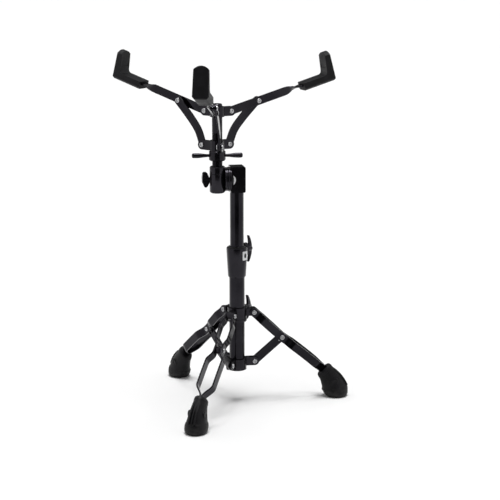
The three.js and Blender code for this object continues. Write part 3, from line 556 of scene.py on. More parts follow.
@dataclass(frozen=True)
class Finish:
    """One finish: its two tones, its gloss, its grain and the dust on it."""

    name: str
    slot: str
    deep: Colour
    pale: Colour
    metallic: float
    clean: float
    handled: float
    grain_scale: float
    grain_height: float
    stretch: tuple[float, float, float] = (1.0, 1.0, 1.0)
    tone_scale: float = 18.0
    dust: float = 0.0
    specular: float = 0.5

    def material(self) -> bpy.types.Material:
        """The finish as a node material, made on first use."""
        if self.name in bpy.data.materials:
            return bpy.data.materials[self.name]
        material = bpy.data.materials.new(self.name)
        material.use_nodes = True
        tree = material.node_tree
        shader = tree.nodes["Principled BSDF"]
        shader.inputs["Metallic"].default_value = self.metallic
        shader.inputs["Specular IOR Level"].default_value = self.specular
        where = tree.nodes.new("ShaderNodeTexCoord").outputs["Object"]
        mapping = tree.nodes.new("ShaderNodeMapping")
        mapping.inputs["Scale"].default_value = self.stretch
        tree.links.new(where, mapping.inputs["Vector"])
        grain_place = mapping.outputs["Vector"]
        deep, pale = (*self.deep, 1), (*self.pale, 1)
        tone = TONE.place(tree, position=where, scale=self.tone_scale, deep=deep, pale=pale)
        colour = tone.outputs["Colour"]
        if self.dust:
            dusty = DUST.place(tree, position=where, amount=self.dust, clean=colour, dust=DUST_COLOUR)
            colour = dusty.outputs["Colour"]
        tree.links.new(colour, shader.inputs["Base Color"])
        gloss = SMUDGES.place(tree, position=where, scale=22.0, clean=self.clean, handled=self.handled)
        tree.links.new(gloss.outputs["Roughness"], shader.inputs["Roughness"])
        grain = GRAIN.place(tree, position=grain_place, scale=self.grain_scale)
        bump = tree.nodes.new("ShaderNodeBump")
        bump.inputs["Strength"].default_value = 1.0
        bump.inputs["Distance"].default_value = self.grain_height * MILLIMETRE
        tree.links.new(grain.outputs["Height"], bump.inputs["Height"])
        tree.links.new(bump.outputs["Normal"], shader.inputs["Normal"])
        return material


PLATED = Finish(
    "Gloss black plate", "black_plate", (0.012, 0.0112, 0.0143), (0.0195, 0.0183, 0.0224), 0.88, 0.12, 0.21,
    grain_scale=900.0, grain_height=0.012, stretch=(1.0, 1.0, 0.25),
)
CASTING = Finish(
    "Satin black casting", "black_casting",
    (0.0145, 0.0135, 0.0168), (0.0235, 0.022, 0.0268), 0.84, 0.13, 0.22,
    grain_scale=1400.0, grain_height=0.03,
)
ZINC = Finish(
    "Bright zinc rivet", "bright_rivet", (0.36, 0.36, 0.37), (0.5, 0.5, 0.51), 1.0, 0.22, 0.38,
    grain_scale=2600.0, grain_height=0.02, tone_scale=160.0,
)
RUBBER = Finish(
    "Moulded black rubber", "rubber", (0.0024, 0.0023, 0.0028), (0.0055, 0.0052, 0.0064), 0.0, 0.4, 0.56,
    grain_scale=1700.0, grain_height=0.09, tone_scale=60.0, dust=0.05, specular=0.16,
)
NYLON = Finish(
    "Black nylon", "nylon", (0.008, 0.008, 0.009), (0.014, 0.014, 0.015), 0.0, 0.38, 0.5,
    grain_scale=1500.0, grain_height=0.03, specular=0.3,
)
PALE = Finish(
    "Pale plate", "pale_plate", (0.62, 0.62, 0.64), (0.72, 0.72, 0.73), 0.1, 0.35, 0.45,
    grain_scale=2200.0, grain_height=0.01, stretch=(1.0, 1.0, 8.0),
)
# A near-white, barely metallic finish for the crescent on the tilter block's front. It is a painted highlight
# that copies a bright glint beside the disc rim and stays bright under any light.
PAINTED_GLINT = Finish(
    "Painted glint plate", "bright_rivet", (0.82, 0.82, 0.84), (0.92, 0.92, 0.93), 0.25, 0.2, 0.3,
    grain_scale=2600.0, grain_height=0.008, tone_scale=160.0,
)


def finish_piece(
    shape: bmesh.types.BMesh,
    name: str,
    body: str,
    finish: Finish,
    place: Matrix = Matrix.Identity(4),
    replaces: Iterable[str] = (),
    edge: float = 0.4,
) -> bpy.types.Object:
    """Scales a shape to metres, rounds its edges, dresses it and hands it to its body.

    Args:
        shape: the solid in millimetres. It is used up.
        name: the piece's name.
        body: the CAD body it rides on.
        finish: its finish.
        place: where the solid goes in the column's millimetres.
        replaces: the CAD nodes it stands for.
        edge: width of the rounding on its sharp edges, or 0 for none.

    Returns:
        The finished object.
    """
    shape.transform(COLUMN @ place)
    for face in shape.faces:
        face.smooth = True
    piece = as_object(shape, name)
    piece.data.set_sharp_from_angle(angle=SHARP)
    if edge:
        rounding = piece.modifiers.new("rounded edges", "BEVEL")
        rounding.width = edge * MILLIMETRE
        rounding.segments = 3
        rounding.limit_method = "ANGLE"
        rounding.angle_limit = ROUNDED_ABOVE
        rounding.harden_normals = True
    piece.data.materials.append(finish.material())
    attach(piece, body)
    if replaces:
        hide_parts(*replaces)
    LOG.info("%s rides on %s", name, body)
    return piece


def rivet(grip: float) -> bmesh.types.BMesh:
    """A semi-tubular rivet along Y: shank, two domed heads and the dimple in each.

    Args:
        grip: half the stack of plates that it holds.

    Returns:
        The solid.
    """
    shank, head, height, dimple, crown = 3.0, 4.3, 1.7, 1.5, 1.1
    under = grip + SEAM / 2
    top = under + height
    turns = (0.0, 0.4, 0.8, 1.2, 1.57)
    dome = [(head - crown + crown * math.cos(t), top - crown + crown * math.sin(t)) for t in turns]
    upper = [
        (shank, under),
        (head, under),
        *dome,
        (2.5, top),
        (2.1, top - dimple * 0.6),
        (1.5, top - dimple),
        (0, top - dimple),
    ]
    lower = [(r, -y) for r, y in reversed(upper)]
    return along_y(lathe(lower + upper, sides=36))


def wing_bolt(tip: float, boss: float, reach: float, span: float) -> bmesh.types.BMesh:
    """A wing bolt along X, its two horns curving back towards the column.

    Args:
        tip: where its shank ends.
        boss: where its boss starts.
        reach: where its crown ends.
        span: size across the horns.

    Returns:
        The solid.
    """
    half = span / 2
    inner = boss + 1
    outline = [
        *bent((inner, half - 1.5), (inner + 0.5, half + 0.8), (inner + 3.6, half - 1)),
        *bent((inner + 3.6, half - 1), (2 * reach - inner - 3.6, 0), (inner + 3.6, 1 - half), 28),
        *bent((inner + 3.6, 1 - half), (inner + 0.5, -half - 0.8), (inner, 1.5 - half)),
        *bent((inner, 1.5 - half), (boss + 5, -half / 3), (boss + 1.5, 0)),
        *bent((boss + 1.5, 0), (boss + 5, half / 3), (inner, half - 1.5)),
    ]
    wing = slab(outline, 4.4)
    bmesh.ops.bevel(
        wing,
        geom=[e for e in wing.edges if len(e.link_faces) == 2 and e.calc_face_angle(0) > 1.2],
        offset=1.3,
        offset_type="OFFSET",
        segments=3,
        profile=0.5,
        affect="EDGES",
        material=-1,
        clamp_overlap=True,
    )
    cap = [(0, boss), (5.5, boss), (5.5, reach - 3), (4.2, reach - 1.2), (0, reach - 1.0)]
    crown = along_x(lathe(cap, sides=48))
    screw = [(0, tip), (3.4, tip), (4.0, tip + 0.8), (4.0, boss + 2), (0, boss + 2)]
    shank = along_x(lathe(screw, sides=40))
    return combine(Boolean.JOIN, wing, crown, shank)


# ---------------------------------------------------------------- column


@dataclass(frozen=True)
class Column:
    """The two tubes, the height clamp, its bush, its wing bolt and its plate."""

    base_radius: float = 14.0
    base_wall: float = 1.2
    base_top: float = 266.0
    upper_radius: float = 12.4
    upper_wall: float = 1.6
    upper_bottom: float = 161.0
    upper_top: float = 405.5
    clamp_bottom: float = 236.0
    clamp_top: float = 291.0
    bush_inner: float = 12.7
    bush_outer: float = 15.3
    sleeve_radius: float = 16.5
    bolt_height: float = 284.0
    bolt_azimuth: float = math.radians(35)
    plate_azimuth: float = math.radians(-46)

    def tubes(self) -> None:
        """The base tube and the telescoping upper tube."""
        base_inner = self.base_radius - self.base_wall
        base = pipe(self.base_radius, base_inner, BASE_TUBE_BOTTOM, self.base_top)
        finish_piece(base, "base_tube_finished", "base", PLATED, replaces=["base_tube"])
        upper_inner = self.upper_radius - self.upper_wall
        upper = pipe(self.upper_radius, upper_inner, self.upper_bottom, self.upper_top)
        finish_piece(upper, "upper_tube_finished", "upper", PLATED, replaces=["upper_tube"])

    def clamp(self) -> None:
        """The tapered sleeve with its bolt ear and the seat for its plate."""
        bottom, top = self.clamp_bottom, self.clamp_top
        bore, socket, foot = self.base_radius + SEAM, self.bush_outer + SEAM, self.sleeve_radius
        sleeve = lathe(
            [
                (foot - 1.2, bottom),
                (foot, bottom + 2.5),
                (foot + 2.6, top - 3.0),
                (foot + 2.4, top - 1.2),
                (foot + 1.4, top),
                (socket, top),
                (socket, self.base_top),
                (bore, self.base_top),
                (bore, bottom),
            ],
            ring=True,
        )
        middle = self.bolt_height
        ear_radius, ear_rise = 7.5, 4.5
        ear_outline = [
            *arc((0, middle + ear_rise), ear_radius, 0, 180),
            *arc((0, middle - ear_rise), ear_radius, 180, 360),
        ]
        ear = slab(ear_outline, 7.5, -foot - 2.8)
        ear.transform(about_z(math.pi / 2))
        hole = along_x(rod(4.3, 13.0, 31.0))
        hole.transform(Matrix.Translation((0, 0, middle)))
        seat = block((foot + 1.0, -6.55, 268.7), (foot + 8.0, 6.55, 285.3))
        ear_at = about_z(self.bolt_azimuth)
        body = combine(Boolean.JOIN, sleeve, turned(ear, ear_at))
        body = combine(
            Boolean.CUT,
            body,
            rod(socket, self.base_top + 0.01, top + 10),
            turned(hole, ear_at),
            turned(seat, about_z(self.plate_azimuth)),
        )
        finish_piece(body, "height_clamp_finished", "base", CASTING, replaces=["height_clamp"], edge=0.5)
        bush = pipe(self.bush_outer, self.bush_inner, self.base_top + SEAM, top + 1.6)
        finish_piece(bush, "clamp_bush_finished", "bush", NYLON, replaces=["clamp_bush"])

    def wing(self) -> None:
        """The bolt that locks the height."""
        place = about_z(self.bolt_azimuth) @ Matrix.Translation((0, 0, self.bolt_height))
        top_radius = self.sleeve_radius + 2.6
        bolt = wing_bolt(self.bush_outer + SEAM, top_radius + 6, top_radius + 17.2, 50.0)
        stood_for = ["clamp_wing_bolt"]
        finish_piece(bolt, "clamp_wing_finished", "clamp_wing", CASTING, place, stood_for, edge=0.3)

    def plate(self) -> None:
        """A blank pale plate with a dark oval set into it."""
        at = about_z(self.plate_azimuth)
        low, high = 269.0, 285.0
        middle = (low + high) / 2
        corners = ((4.75, high - 1.5), (-4.75, high - 1.5), (-4.75, low + 1.5), (4.75, low + 1.5))
        outline = [p for i, corner in enumerate(corners) for p in arc(corner, 1.5, 90 * i, 90 * i + 90, 5)]
        face = self.sleeve_radius + 2.9
        plate = slab(outline, 1.6, 0.8 - face)
        turns = [i * math.pi / 16 for i in range(32)]
        oval = [(3.1 * math.cos(t), middle + 4.6 * math.sin(t)) for t in turns]
        sunk = combine(Boolean.CUT, plate, slab(oval, 1.0, 0.1 - face))
        sunk.transform(about_z(math.pi / 2))
        finish_piece(sunk, "clamp_plate_finished", "base", PALE, at, ["clamp_plate"], edge=0.25)
        thin_piece = slab([(x * 0.96, middle + (z - middle) * 0.96) for x, z in oval], 0.3, 0.35 - face)
        thin_piece.transform(about_z(math.pi / 2))
        finish_piece(thin_piece, "clamp_plate_inlay", "base", NYLON, at, edge=0.05)

    def build(self) -> None:
        """Makes every piece of the column."""
        self.tubes()
        self.clamp()
        self.wing()
        self.plate()


# ---------------------------------------------------------------- tripod


@dataclass(frozen=True)
class Tripod:
    """The collar, the bracket, and three legs with their braces and feet."""

    collar_pivot: Point = (30.6, 169.0)
    bracket_pivot: Point = (32.4, 75.3)
    leg_mid: Point = (82.8, 119.3)
    foot_radius: float = 187.0
    leg_end: Point = (162.0, 53.0)
    leg_bend: Point = (125.0, 87.5)
    line_steps: int = 24
    strip_width: float = 15.5
    strip_thick: float = 3.0
    collar_lug: float = 10.4
    upper_bulge: float = 4.5
    lower_bulge: float = 8.0
    brace_thick: float = 4.0
    bore: float = 14.3
    collar_bottom: float = 153.0
    collar_height: float = 26.0
    bracket_height: float = 21.0
    wing_azimuth: float = math.radians(50)

    def collar(self) -> None:
        """The sliding collar: ring, three tongues and the boss of its wing bolt."""
        bottom, top = self.collar_bottom, self.collar_bottom + self.collar_height
        middle = top - 8
        outer = self.bore + 3.2
        ring = pipe(outer, self.bore, bottom, top)
        rib = pipe(outer + 0.8, self.bore + 1, bottom + 2, bottom + 5)
        tongue = slab(lug(self.bore + 1, self.collar_pivot, 14.0), self.collar_lug)
        boss_root, boss_end = self.bore + 1, outer + 9
        boss_profile = [(0, boss_root), (8.2, boss_root), (7.5, boss_end), (0, boss_end)]
        boss = along_x(lathe(boss_profile, sides=48))
        boss.transform(about_z(self.wing_azimuth) @ Matrix.Translation((0, 0, middle)))
        hole = along_x(rod(4.3, self.bore - 2, outer + 12))
        hole.transform(about_z(self.wing_azimuth) @ Matrix.Translation((0, 0, middle)))
        body = combine(Boolean.JOIN, ring, rib, *thirds(tongue), boss)
        body = combine(Boolean.CUT, body, rod(self.bore, bottom - 1, top + 1), hole)
        finish_piece(body, "leg_collar_finished", "collar", CASTING, replaces=["leg_collar"], edge=0.7)
        bolt = wing_bolt(self.bore + SEAM, outer + 14, outer + 28, 46.0)
        place = about_z(self.wing_azimuth) @ Matrix.Translation((0, 0, middle))
        stood_for = ["collar_wing_bolt"]
        finish_piece(bolt, "collar_wing_finished", "collar_wing", CASTING, place, stood_for, edge=0.3)

    def bracket(self) -> None:
        """The fixed bracket at the tube's foot, with a fork for each brace."""
        bottom, top = BASE_TUBE_BOTTOM, BASE_TUBE_BOTTOM + self.bracket_height
        outer = self.bore + 3.2
        cheek, gap = 2.8, self.brace_thick / 2 + SEAM
        outline = lug(self.bore + 1, self.bracket_pivot, 16.0)
        cheeks = [slab(outline, cheek, side * (gap + cheek / 2)) for side in (-1, 1)]
        x, z = self.bracket_pivot
        web = block((self.bore + 1, -gap - 1, z - 7.0), (x - 8.6, gap + 1, z + 7.0))
        forks = [third for part in (*cheeks, web) for third in thirds(part)]
        body = combine(Boolean.JOIN, pipe(outer, self.bore, bottom, top), *forks)
        body = combine(Boolean.CUT, body, rod(self.bore, bottom - 1, top + 1))
        finish_piece(body, "lower_bracket_finished", "base", CASTING, replaces=["lower_bracket"], edge=0.6)

    def line(self) -> Route:
        """A leg's centre line from the collar pivot into its foot."""
        steps = self.line_steps
        start, mid = Vector((*self.collar_pivot, 0)), Vector((*self.leg_mid, 0))
        bend, end = Vector((*self.leg_bend, 0)), Vector((*self.leg_end, 0))
        shares = [i / steps for i in range(steps)]
        upper = [start.lerp(mid, t) for t in shares]
        lower = [mid.lerp(bend, t).lerp(bend.lerp(end, t), t) for t in shares]
        return Route(tuple([*upper, *lower, end, end + (end - bend).normalized() * 30]))

    def spread(self, s: float, mid_at: float, end_at: float) -> float:
        """Half the distance between a leg's two strips, at a distance from the collar pivot."""
        flat = self.strip_width / 2 + 1
        upper = smooth_step(flat, flat + 14, s) - smooth_step(mid_at - flat - 14, mid_at - flat, s)
        opening = smooth_step(mid_at + flat, mid_at + flat + 18, s)
        closing = smooth_step(end_at - 26, end_at - 2, s)
        side = self.collar_lug / 2 + SEAM + self.strip_thick / 2
        apart = side + self.upper_bulge * upper + self.lower_bulge * opening
        return mix(apart, self.strip_thick / 2 + SEAM / 2, closing)

    def strip(self, side: int) -> bmesh.types.BMesh:
        """One of a leg's two bowed strips, in the plane of the first leg.

        Args:
            side: 1 or -1.

        Returns:
            The strip.
        """
        line = self.line()
        marks = line.steps()
        mid_at, end_at, length = marks[self.line_steps], marks[2 * self.line_steps], marks[-1]
        rings = []
        for s, width in strip_stations(self.strip_width / 2, length, round_both=False):
            here, heading = line.at(s), line.heading(s)
            slope = self.spread(s + 0.5, mid_at, end_at) - self.spread(s - 0.5, mid_at, end_at)
            wide = Vector((-heading.y, 0, heading.x))
            run = Vector((heading.x, side * slope, heading.y)).normalized()
            thick = run.cross(wide)
            centre = Vector((here.x, side * self.spread(s, mid_at, end_at), here.y))
            ring = [centre + wide * (a * width) + thick * (b * self.strip_thick) for a, b in STRIP_CORNERS]
            rings.append(ring)
        return sweep(rings)

    def foot(self) -> bmesh.types.BMesh:
        """A rubber foot: a rounded, flared sole and a body that leans in to meet the leg.

        Each section holds its share of the foot's height, its half length and its half width.
        """
        sides, full_tilt = 48, math.radians(44)
        sections = (
            (0.0, 17.4, 16.4), (0.02, 19.0, 18.0), (0.05, 20.8, 19.4), (0.1, 22.2, 20.3),
            (0.16, 23.2, 20.6), (0.22, 24.0, 20.4), (0.27, 24.5, 20.0), (0.3, 24.4, 19.5),
            (0.325, 23.7, 18.8), (0.34, 22.9, 18.2), (0.355, 22.6, 17.9), (0.375, 22.5, 17.7),
            (0.4, 22.0, 17.3), (0.44, 21.4, 16.8), (0.5, 20.7, 16.2), (0.57, 19.9, 15.5),
            (0.65, 19.2, 14.7), (0.74, 18.0, 13.7), (0.83, 16.8, 12.8), (0.9, 16.0, 12.1),
            (0.905, 16.6, 12.7), (0.95, 16.0, 12.3), (0.98, 15.4, 11.9), (1.0, 14.2, 10.8),
        )
        rings = []
        for t, long, wide in sections:
            tilt = full_tilt * smooth_step(0.1, 0.95, t)
            middle = self.foot_radius - (self.foot_radius - self.leg_end[0]) * t**1.7
            ring = []
            for i in range(sides):
                turn = 2 * math.pi * i / sides
                across = long * math.cos(turn)
                x, z = middle + across * math.cos(tilt), self.leg_end[1] * t + across * math.sin(tilt)
                ring.append(Vector((x, wide * math.sin(turn), z)))
            rings.append(ring)
        body = sweep(rings)
        bosses = []
        for side in (-1, 1):
            button = [(0, 12.0), (6.4, 12.0), (6.4, 15.2), (5.6, 15.9), (4.4, 16.0), (3.8, 15.6), (0, 15.6)]
            oval = along_y(lathe(button))
            squash = Matrix.Rotation(math.radians(28), 4, "Y") @ Matrix.Diagonal((1, side, 1.35, 1))
            oval.transform(Matrix.Translation((181, 0, 30)) @ squash)
            bmesh.ops.recalc_face_normals(oval, faces=oval.faces[:])
            bosses.append(oval)
        ribs = []
        for offset in (-5.2, 0.0, 5.2):
            points = bent((206.5, 21), (199, 41), (176, 56), 10)
            proud = [(x + 1.3, z + 0.9) for x, z in points]
            outline = proud + [(x - 6, z - 6) for x, z in reversed(points)]
            ribs.append(slab(outline, 2.2, offset))
        body = combine(Boolean.JOIN, body, *bosses, *ribs)
        heading = self.line().heading(200)
        lean = math.atan2(heading.y, heading.x)
        pocket = block((-68, -3.45, -8.05), (0, 3.45, 8.05))
        tip = self.line().at(self.line().length() + 1)
        pocket.transform(Matrix.Translation((tip.x, 0, tip.y)) @ Matrix.Rotation(-lean, 4, "Y"))
        return combine(Boolean.CUT, body, pocket)

    def brace(self) -> bmesh.types.BMesh:
        """A brace strip, with the slot that lets the leg's rivet drift as the legs fold."""
        body = slab(capsule(self.bracket_pivot, self.leg_mid, 7.75), self.brace_thick)
        drift = self.drift()
        far = (self.leg_mid[0] + drift[0], self.leg_mid[1] + drift[1])
        return combine(Boolean.CUT, body, slab(capsule(self.leg_mid, far, 3.8), 12.0))

    def drift(self) -> Point:
        """How far the leg's middle rivet moves along the brace, halfway through the fold."""
        folded = math.radians(12)
        leg = (self.leg_mid[0] - self.collar_pivot[0], self.leg_mid[1] - self.collar_pivot[1])
        tie = (self.leg_mid[0] - self.bracket_pivot[0], self.leg_mid[1] - self.bracket_pivot[1])
        base = (self.collar_pivot[0] - self.bracket_pivot[0], self.collar_pivot[1] - self.bracket_pivot[1])
        leg_turn = folded - math.atan2(leg[0], -leg[1])
        leg_length, tie_length = math.hypot(*leg), math.hypot(*tie)
        folded_tie = math.asin((base[0] + leg_length * math.sin(folded)) / tie_length)
        tie_turn = math.atan2(*tie) - folded_tie
        travel = leg_length * math.cos(folded) + tie_length * math.cos(folded_tie) - base[1]
        return halfway_drift(leg, tie, base, leg_turn, tie_turn, travel)

    def legs(self) -> None:
        """Three legs, a third of a turn apart."""
        side = self.collar_lug / 2 + SEAM + self.strip_thick
        strips = [self.strip(1), self.strip(-1)]
        foot, brace = self.foot(), self.brace()
        inner = self.brace_thick / 2 + SEAM
        outer = self.collar_lug / 2 - 0.1
        spacer = along_y(pipe(5.5, 3.1, inner, outer))
        spacer = combine(Boolean.JOIN, spacer, turned(spacer, Matrix.Rotation(math.pi, 4, "X")))
        pins = (
            ("collar_rivet", self.collar_pivot, side, "leg"),
            ("leg_rivet", self.leg_mid, side, "leg"),
            ("bracket_rivet", self.bracket_pivot, self.brace_thick / 2 + SEAM + 2.8, "base"),
        )
        for i, name in enumerate(LEG_NAMES):
            at = about_z(i * THIRD_TURN)
            leg = f"leg_{name}"
            for number, strip in enumerate(strips, 1):
                node = f"{leg}_strip_{number}"
                finish_piece(strip.copy(), f"{node}_finished", leg, PLATED, at, [node])
            finish_piece(foot.copy(), f"foot_{name}_finished", leg, RUBBER, at, [f"foot_{name}"], edge=0.5)
            node = f"brace_{name}"
            finish_piece(brace.copy(), f"{node}_finished", node, PLATED, at, [node])
            mid = at @ Matrix.Translation((self.leg_mid[0], 0, self.leg_mid[1]))
            finish_piece(spacer.copy(), f"leg_spacer_{name}", leg, CASTING, mid, edge=0.3)
            for pin, pivot, grip, rider in pins:
                node = f"{pin}_{name}"
                body = leg if rider == "leg" else rider
                place = at @ Matrix.Translation((pivot[0], 0, pivot[1]))
                finish_piece(rivet(grip), f"{node}_finished", body, ZINC, place, [node], edge=0)

    def build(self) -> None:
        """Makes every piece of the tripod."""
        self.collar()
        self.bracket()
        self.legs()


def halfway_drift(
    arm: Point, link: Point, base: Point, arm_turn: float, link_turn: float, travel: float
) -> Point:
    """How far the open pivot of a folding triangle drifts at half travel.

    Args:
        arm: from the arm's own pivot to the open pivot.
        link: from the link's own pivot to the open pivot.
        base: from the link's pivot to the arm's.
        arm_turn: the arm's whole turn.
        link_turn: the link's whole turn.
        travel: the slide of the arm's pivot.

    Returns:
        The drift in the link's rest frame.
    """

    def turn(point: Point, angle: float) -> Point:
        """A point turned about the origin."""
        x, z = point
        return (x * math.cos(angle) - z * math.sin(angle), x * math.sin(angle) + z * math.cos(angle))

    arm_tip, link_tip = turn(arm, arm_turn / 2), turn(link, link_turn / 2)
    gap = (arm_tip[0] - link_tip[0] + base[0], arm_tip[1] - link_tip[1] + base[1] + travel / 2)
    return turn(gap, -link_turn / 2)


# ---------------------------------------------------------------- tilter


@dataclass(frozen=True)
class Tilter:
    """The block on the upper tube, the body beside it and the wing bolt through both."""

    azimuth: float = math.radians(2)
    height: float = 416.0
    offset: float = 35.0
    body_radius: float = 14.0
    body_height: float = 48.0
    disc_radius: float = 22.0
    disc_thick: float = 3.95
    block_depth: float = 27.8
    block_height: float = 47.0
    block_right: float = 13.9
    tube_seat: float = 12.7
    seat_depth: float = 13.0
    bolt_hole: float = 4.3

    def place(self) -> Matrix:
        """The tilt axis along X, at its height."""
        return about_z(self.azimuth) @ Matrix.Translation((0, 0, self.height))

    def casting(self) -> None:
        """The block, with rounded corners and its serrated disc face, and a pale crescent on its front that
        is a painted highlight.
        """
        disc_start = self.body_radius - self.offset + self.disc_thick + SEAM
        left, right = disc_start + self.disc_thick, self.block_right
        low, high = -self.block_height / 2, self.block_height / 2
        lower_corner = arc((right - 3, low + 3), 3, 270, 360, 8)
        upper_corner = arc((right - 3.2, high - 3.2), 3.2, 0, 90, 10)
        outline = [(left, low), *lower_corner, *upper_corner]
        body = slab([*outline, (left, high)], self.block_depth)
        disc = self.disc(disc_start, left + 1.5, self.disc_radius)
        body = combine(Boolean.JOIN, body, disc)
        seat = rod(self.tube_seat, low - 1, low + self.seat_depth + SEAM)
        hole = along_x(rod(self.bolt_hole, -self.offset, self.block_right - 5.7))
        notch = block((0.6, -self.block_depth / 2 - 1, -3.4), (1.5, -self.block_depth / 2 + 0.7, 2.6))
        body = combine(Boolean.CUT, body, seat, hole, notch)
        place = self.place()
        finish_piece(body, "tilter_block_finished", "upper", CASTING, place, ["tilter_block"], edge=0.5)
        # The crescent below is a flat, near-white plate shaped like a bright glint beside the disc rim: a
        # painted highlight standing on the block's face.
        reach = 8.6
        outer, inner = (1.0, 0), (-6.4, 0)
        tips = (-8.6, reach), (-8.6, -reach)
        crescent = bent(tips[0], outer, tips[1], 16) + bent(tips[1], inner, tips[0], 16)
        thin_piece = slab(crescent, 1.0, -self.block_depth / 2)
        finish_piece(thin_piece, "tilter_block_painted_glint", "upper", PAINTED_GLINT, place, edge=0.15)

    def disc(self, start: float, end: float, radius: float) -> bmesh.types.BMesh:
        """A round face plate along X with a fine groove round its rim."""
        middle = (start + end) / 2
        profile = [
            (0, start), (radius - 0.8, start), (radius, start + 0.8),
            (radius, middle - 0.5), (radius - 0.5, middle), (radius, middle + 0.5),
            (radius, end - 0.8), (radius - 0.8, end), (0, end),
        ]
        return along_x(lathe(profile))

    def body(self) -> None:
        """The barrel that holds the basket's post."""
        half, radius = self.body_height / 2, self.body_radius
        groove = 11.0
        barrel = lathe(
            [
                (0, -half),
                (radius - 2.2, -half),
                (radius - 0.4, -half + 1.6),
                (radius, -half + 2.4),
                (radius, groove - 0.5),
                (radius - 0.5, groove),
                (radius, groove + 0.5),
                *arc((radius - 3, half - 3), 3, 0, 90, 6),
                (0, half),
            ]
        )
        barrel.transform(Matrix.Translation((-self.offset, 0, 0)))
        disc_end = radius - self.offset + self.disc_thick
        disc = self.disc(radius - self.offset - 2, disc_end, self.disc_radius - 0.5)
        well = rod(9.6, 7.0, half + 5)
        well.transform(Matrix.Translation((-self.offset, 0, 0)))
        hole = along_x(rod(self.bolt_hole, -2 * self.offset, 0))
        body = combine(Boolean.CUT, combine(Boolean.JOIN, barrel, disc), well, hole)
        finish_piece(body, "tilter_body_finished", "tilter", CASTING, self.place(), ["tilter_body"], edge=0.4)

    def wing(self) -> None:
        """The stubby knob that locks the tilt, on its bolt."""
        left = self.offset + self.body_radius
        side = [
            (0.3, -3.5), (1.4, -7.0), (4.6, -12.2), (6.2, -13.5),
            (9.0, -13.5), (10.4, -12.2), (12.2, -7.6), (14.0, -4.4),
            (14.0, 5.5), (12.4, 12.0), (10.8, 13.5), (6.2, 13.5), (4.6, 12.2), (1.4, 5.0), (0.3, 3.5),
        ]
        knob = slab([(left + x, z) for x, z in side], 9.0)
        shank = along_x(rod(4.0, -(self.block_right - 6), left + 2))
        bolt = combine(Boolean.JOIN, knob, shank)
        place = self.place() @ about_z(math.pi)
        stood_for = ["tilter_wing_bolt"]
        finish_piece(bolt, "tilt_wing_finished", "tilter_wing", CASTING, place, stood_for, edge=1.3)

    def build(self) -> None:
        """Makes every piece of the tilter."""
        self.casting()
        self.body()
        self.wing()


# ---------------------------------------------------------------- basket


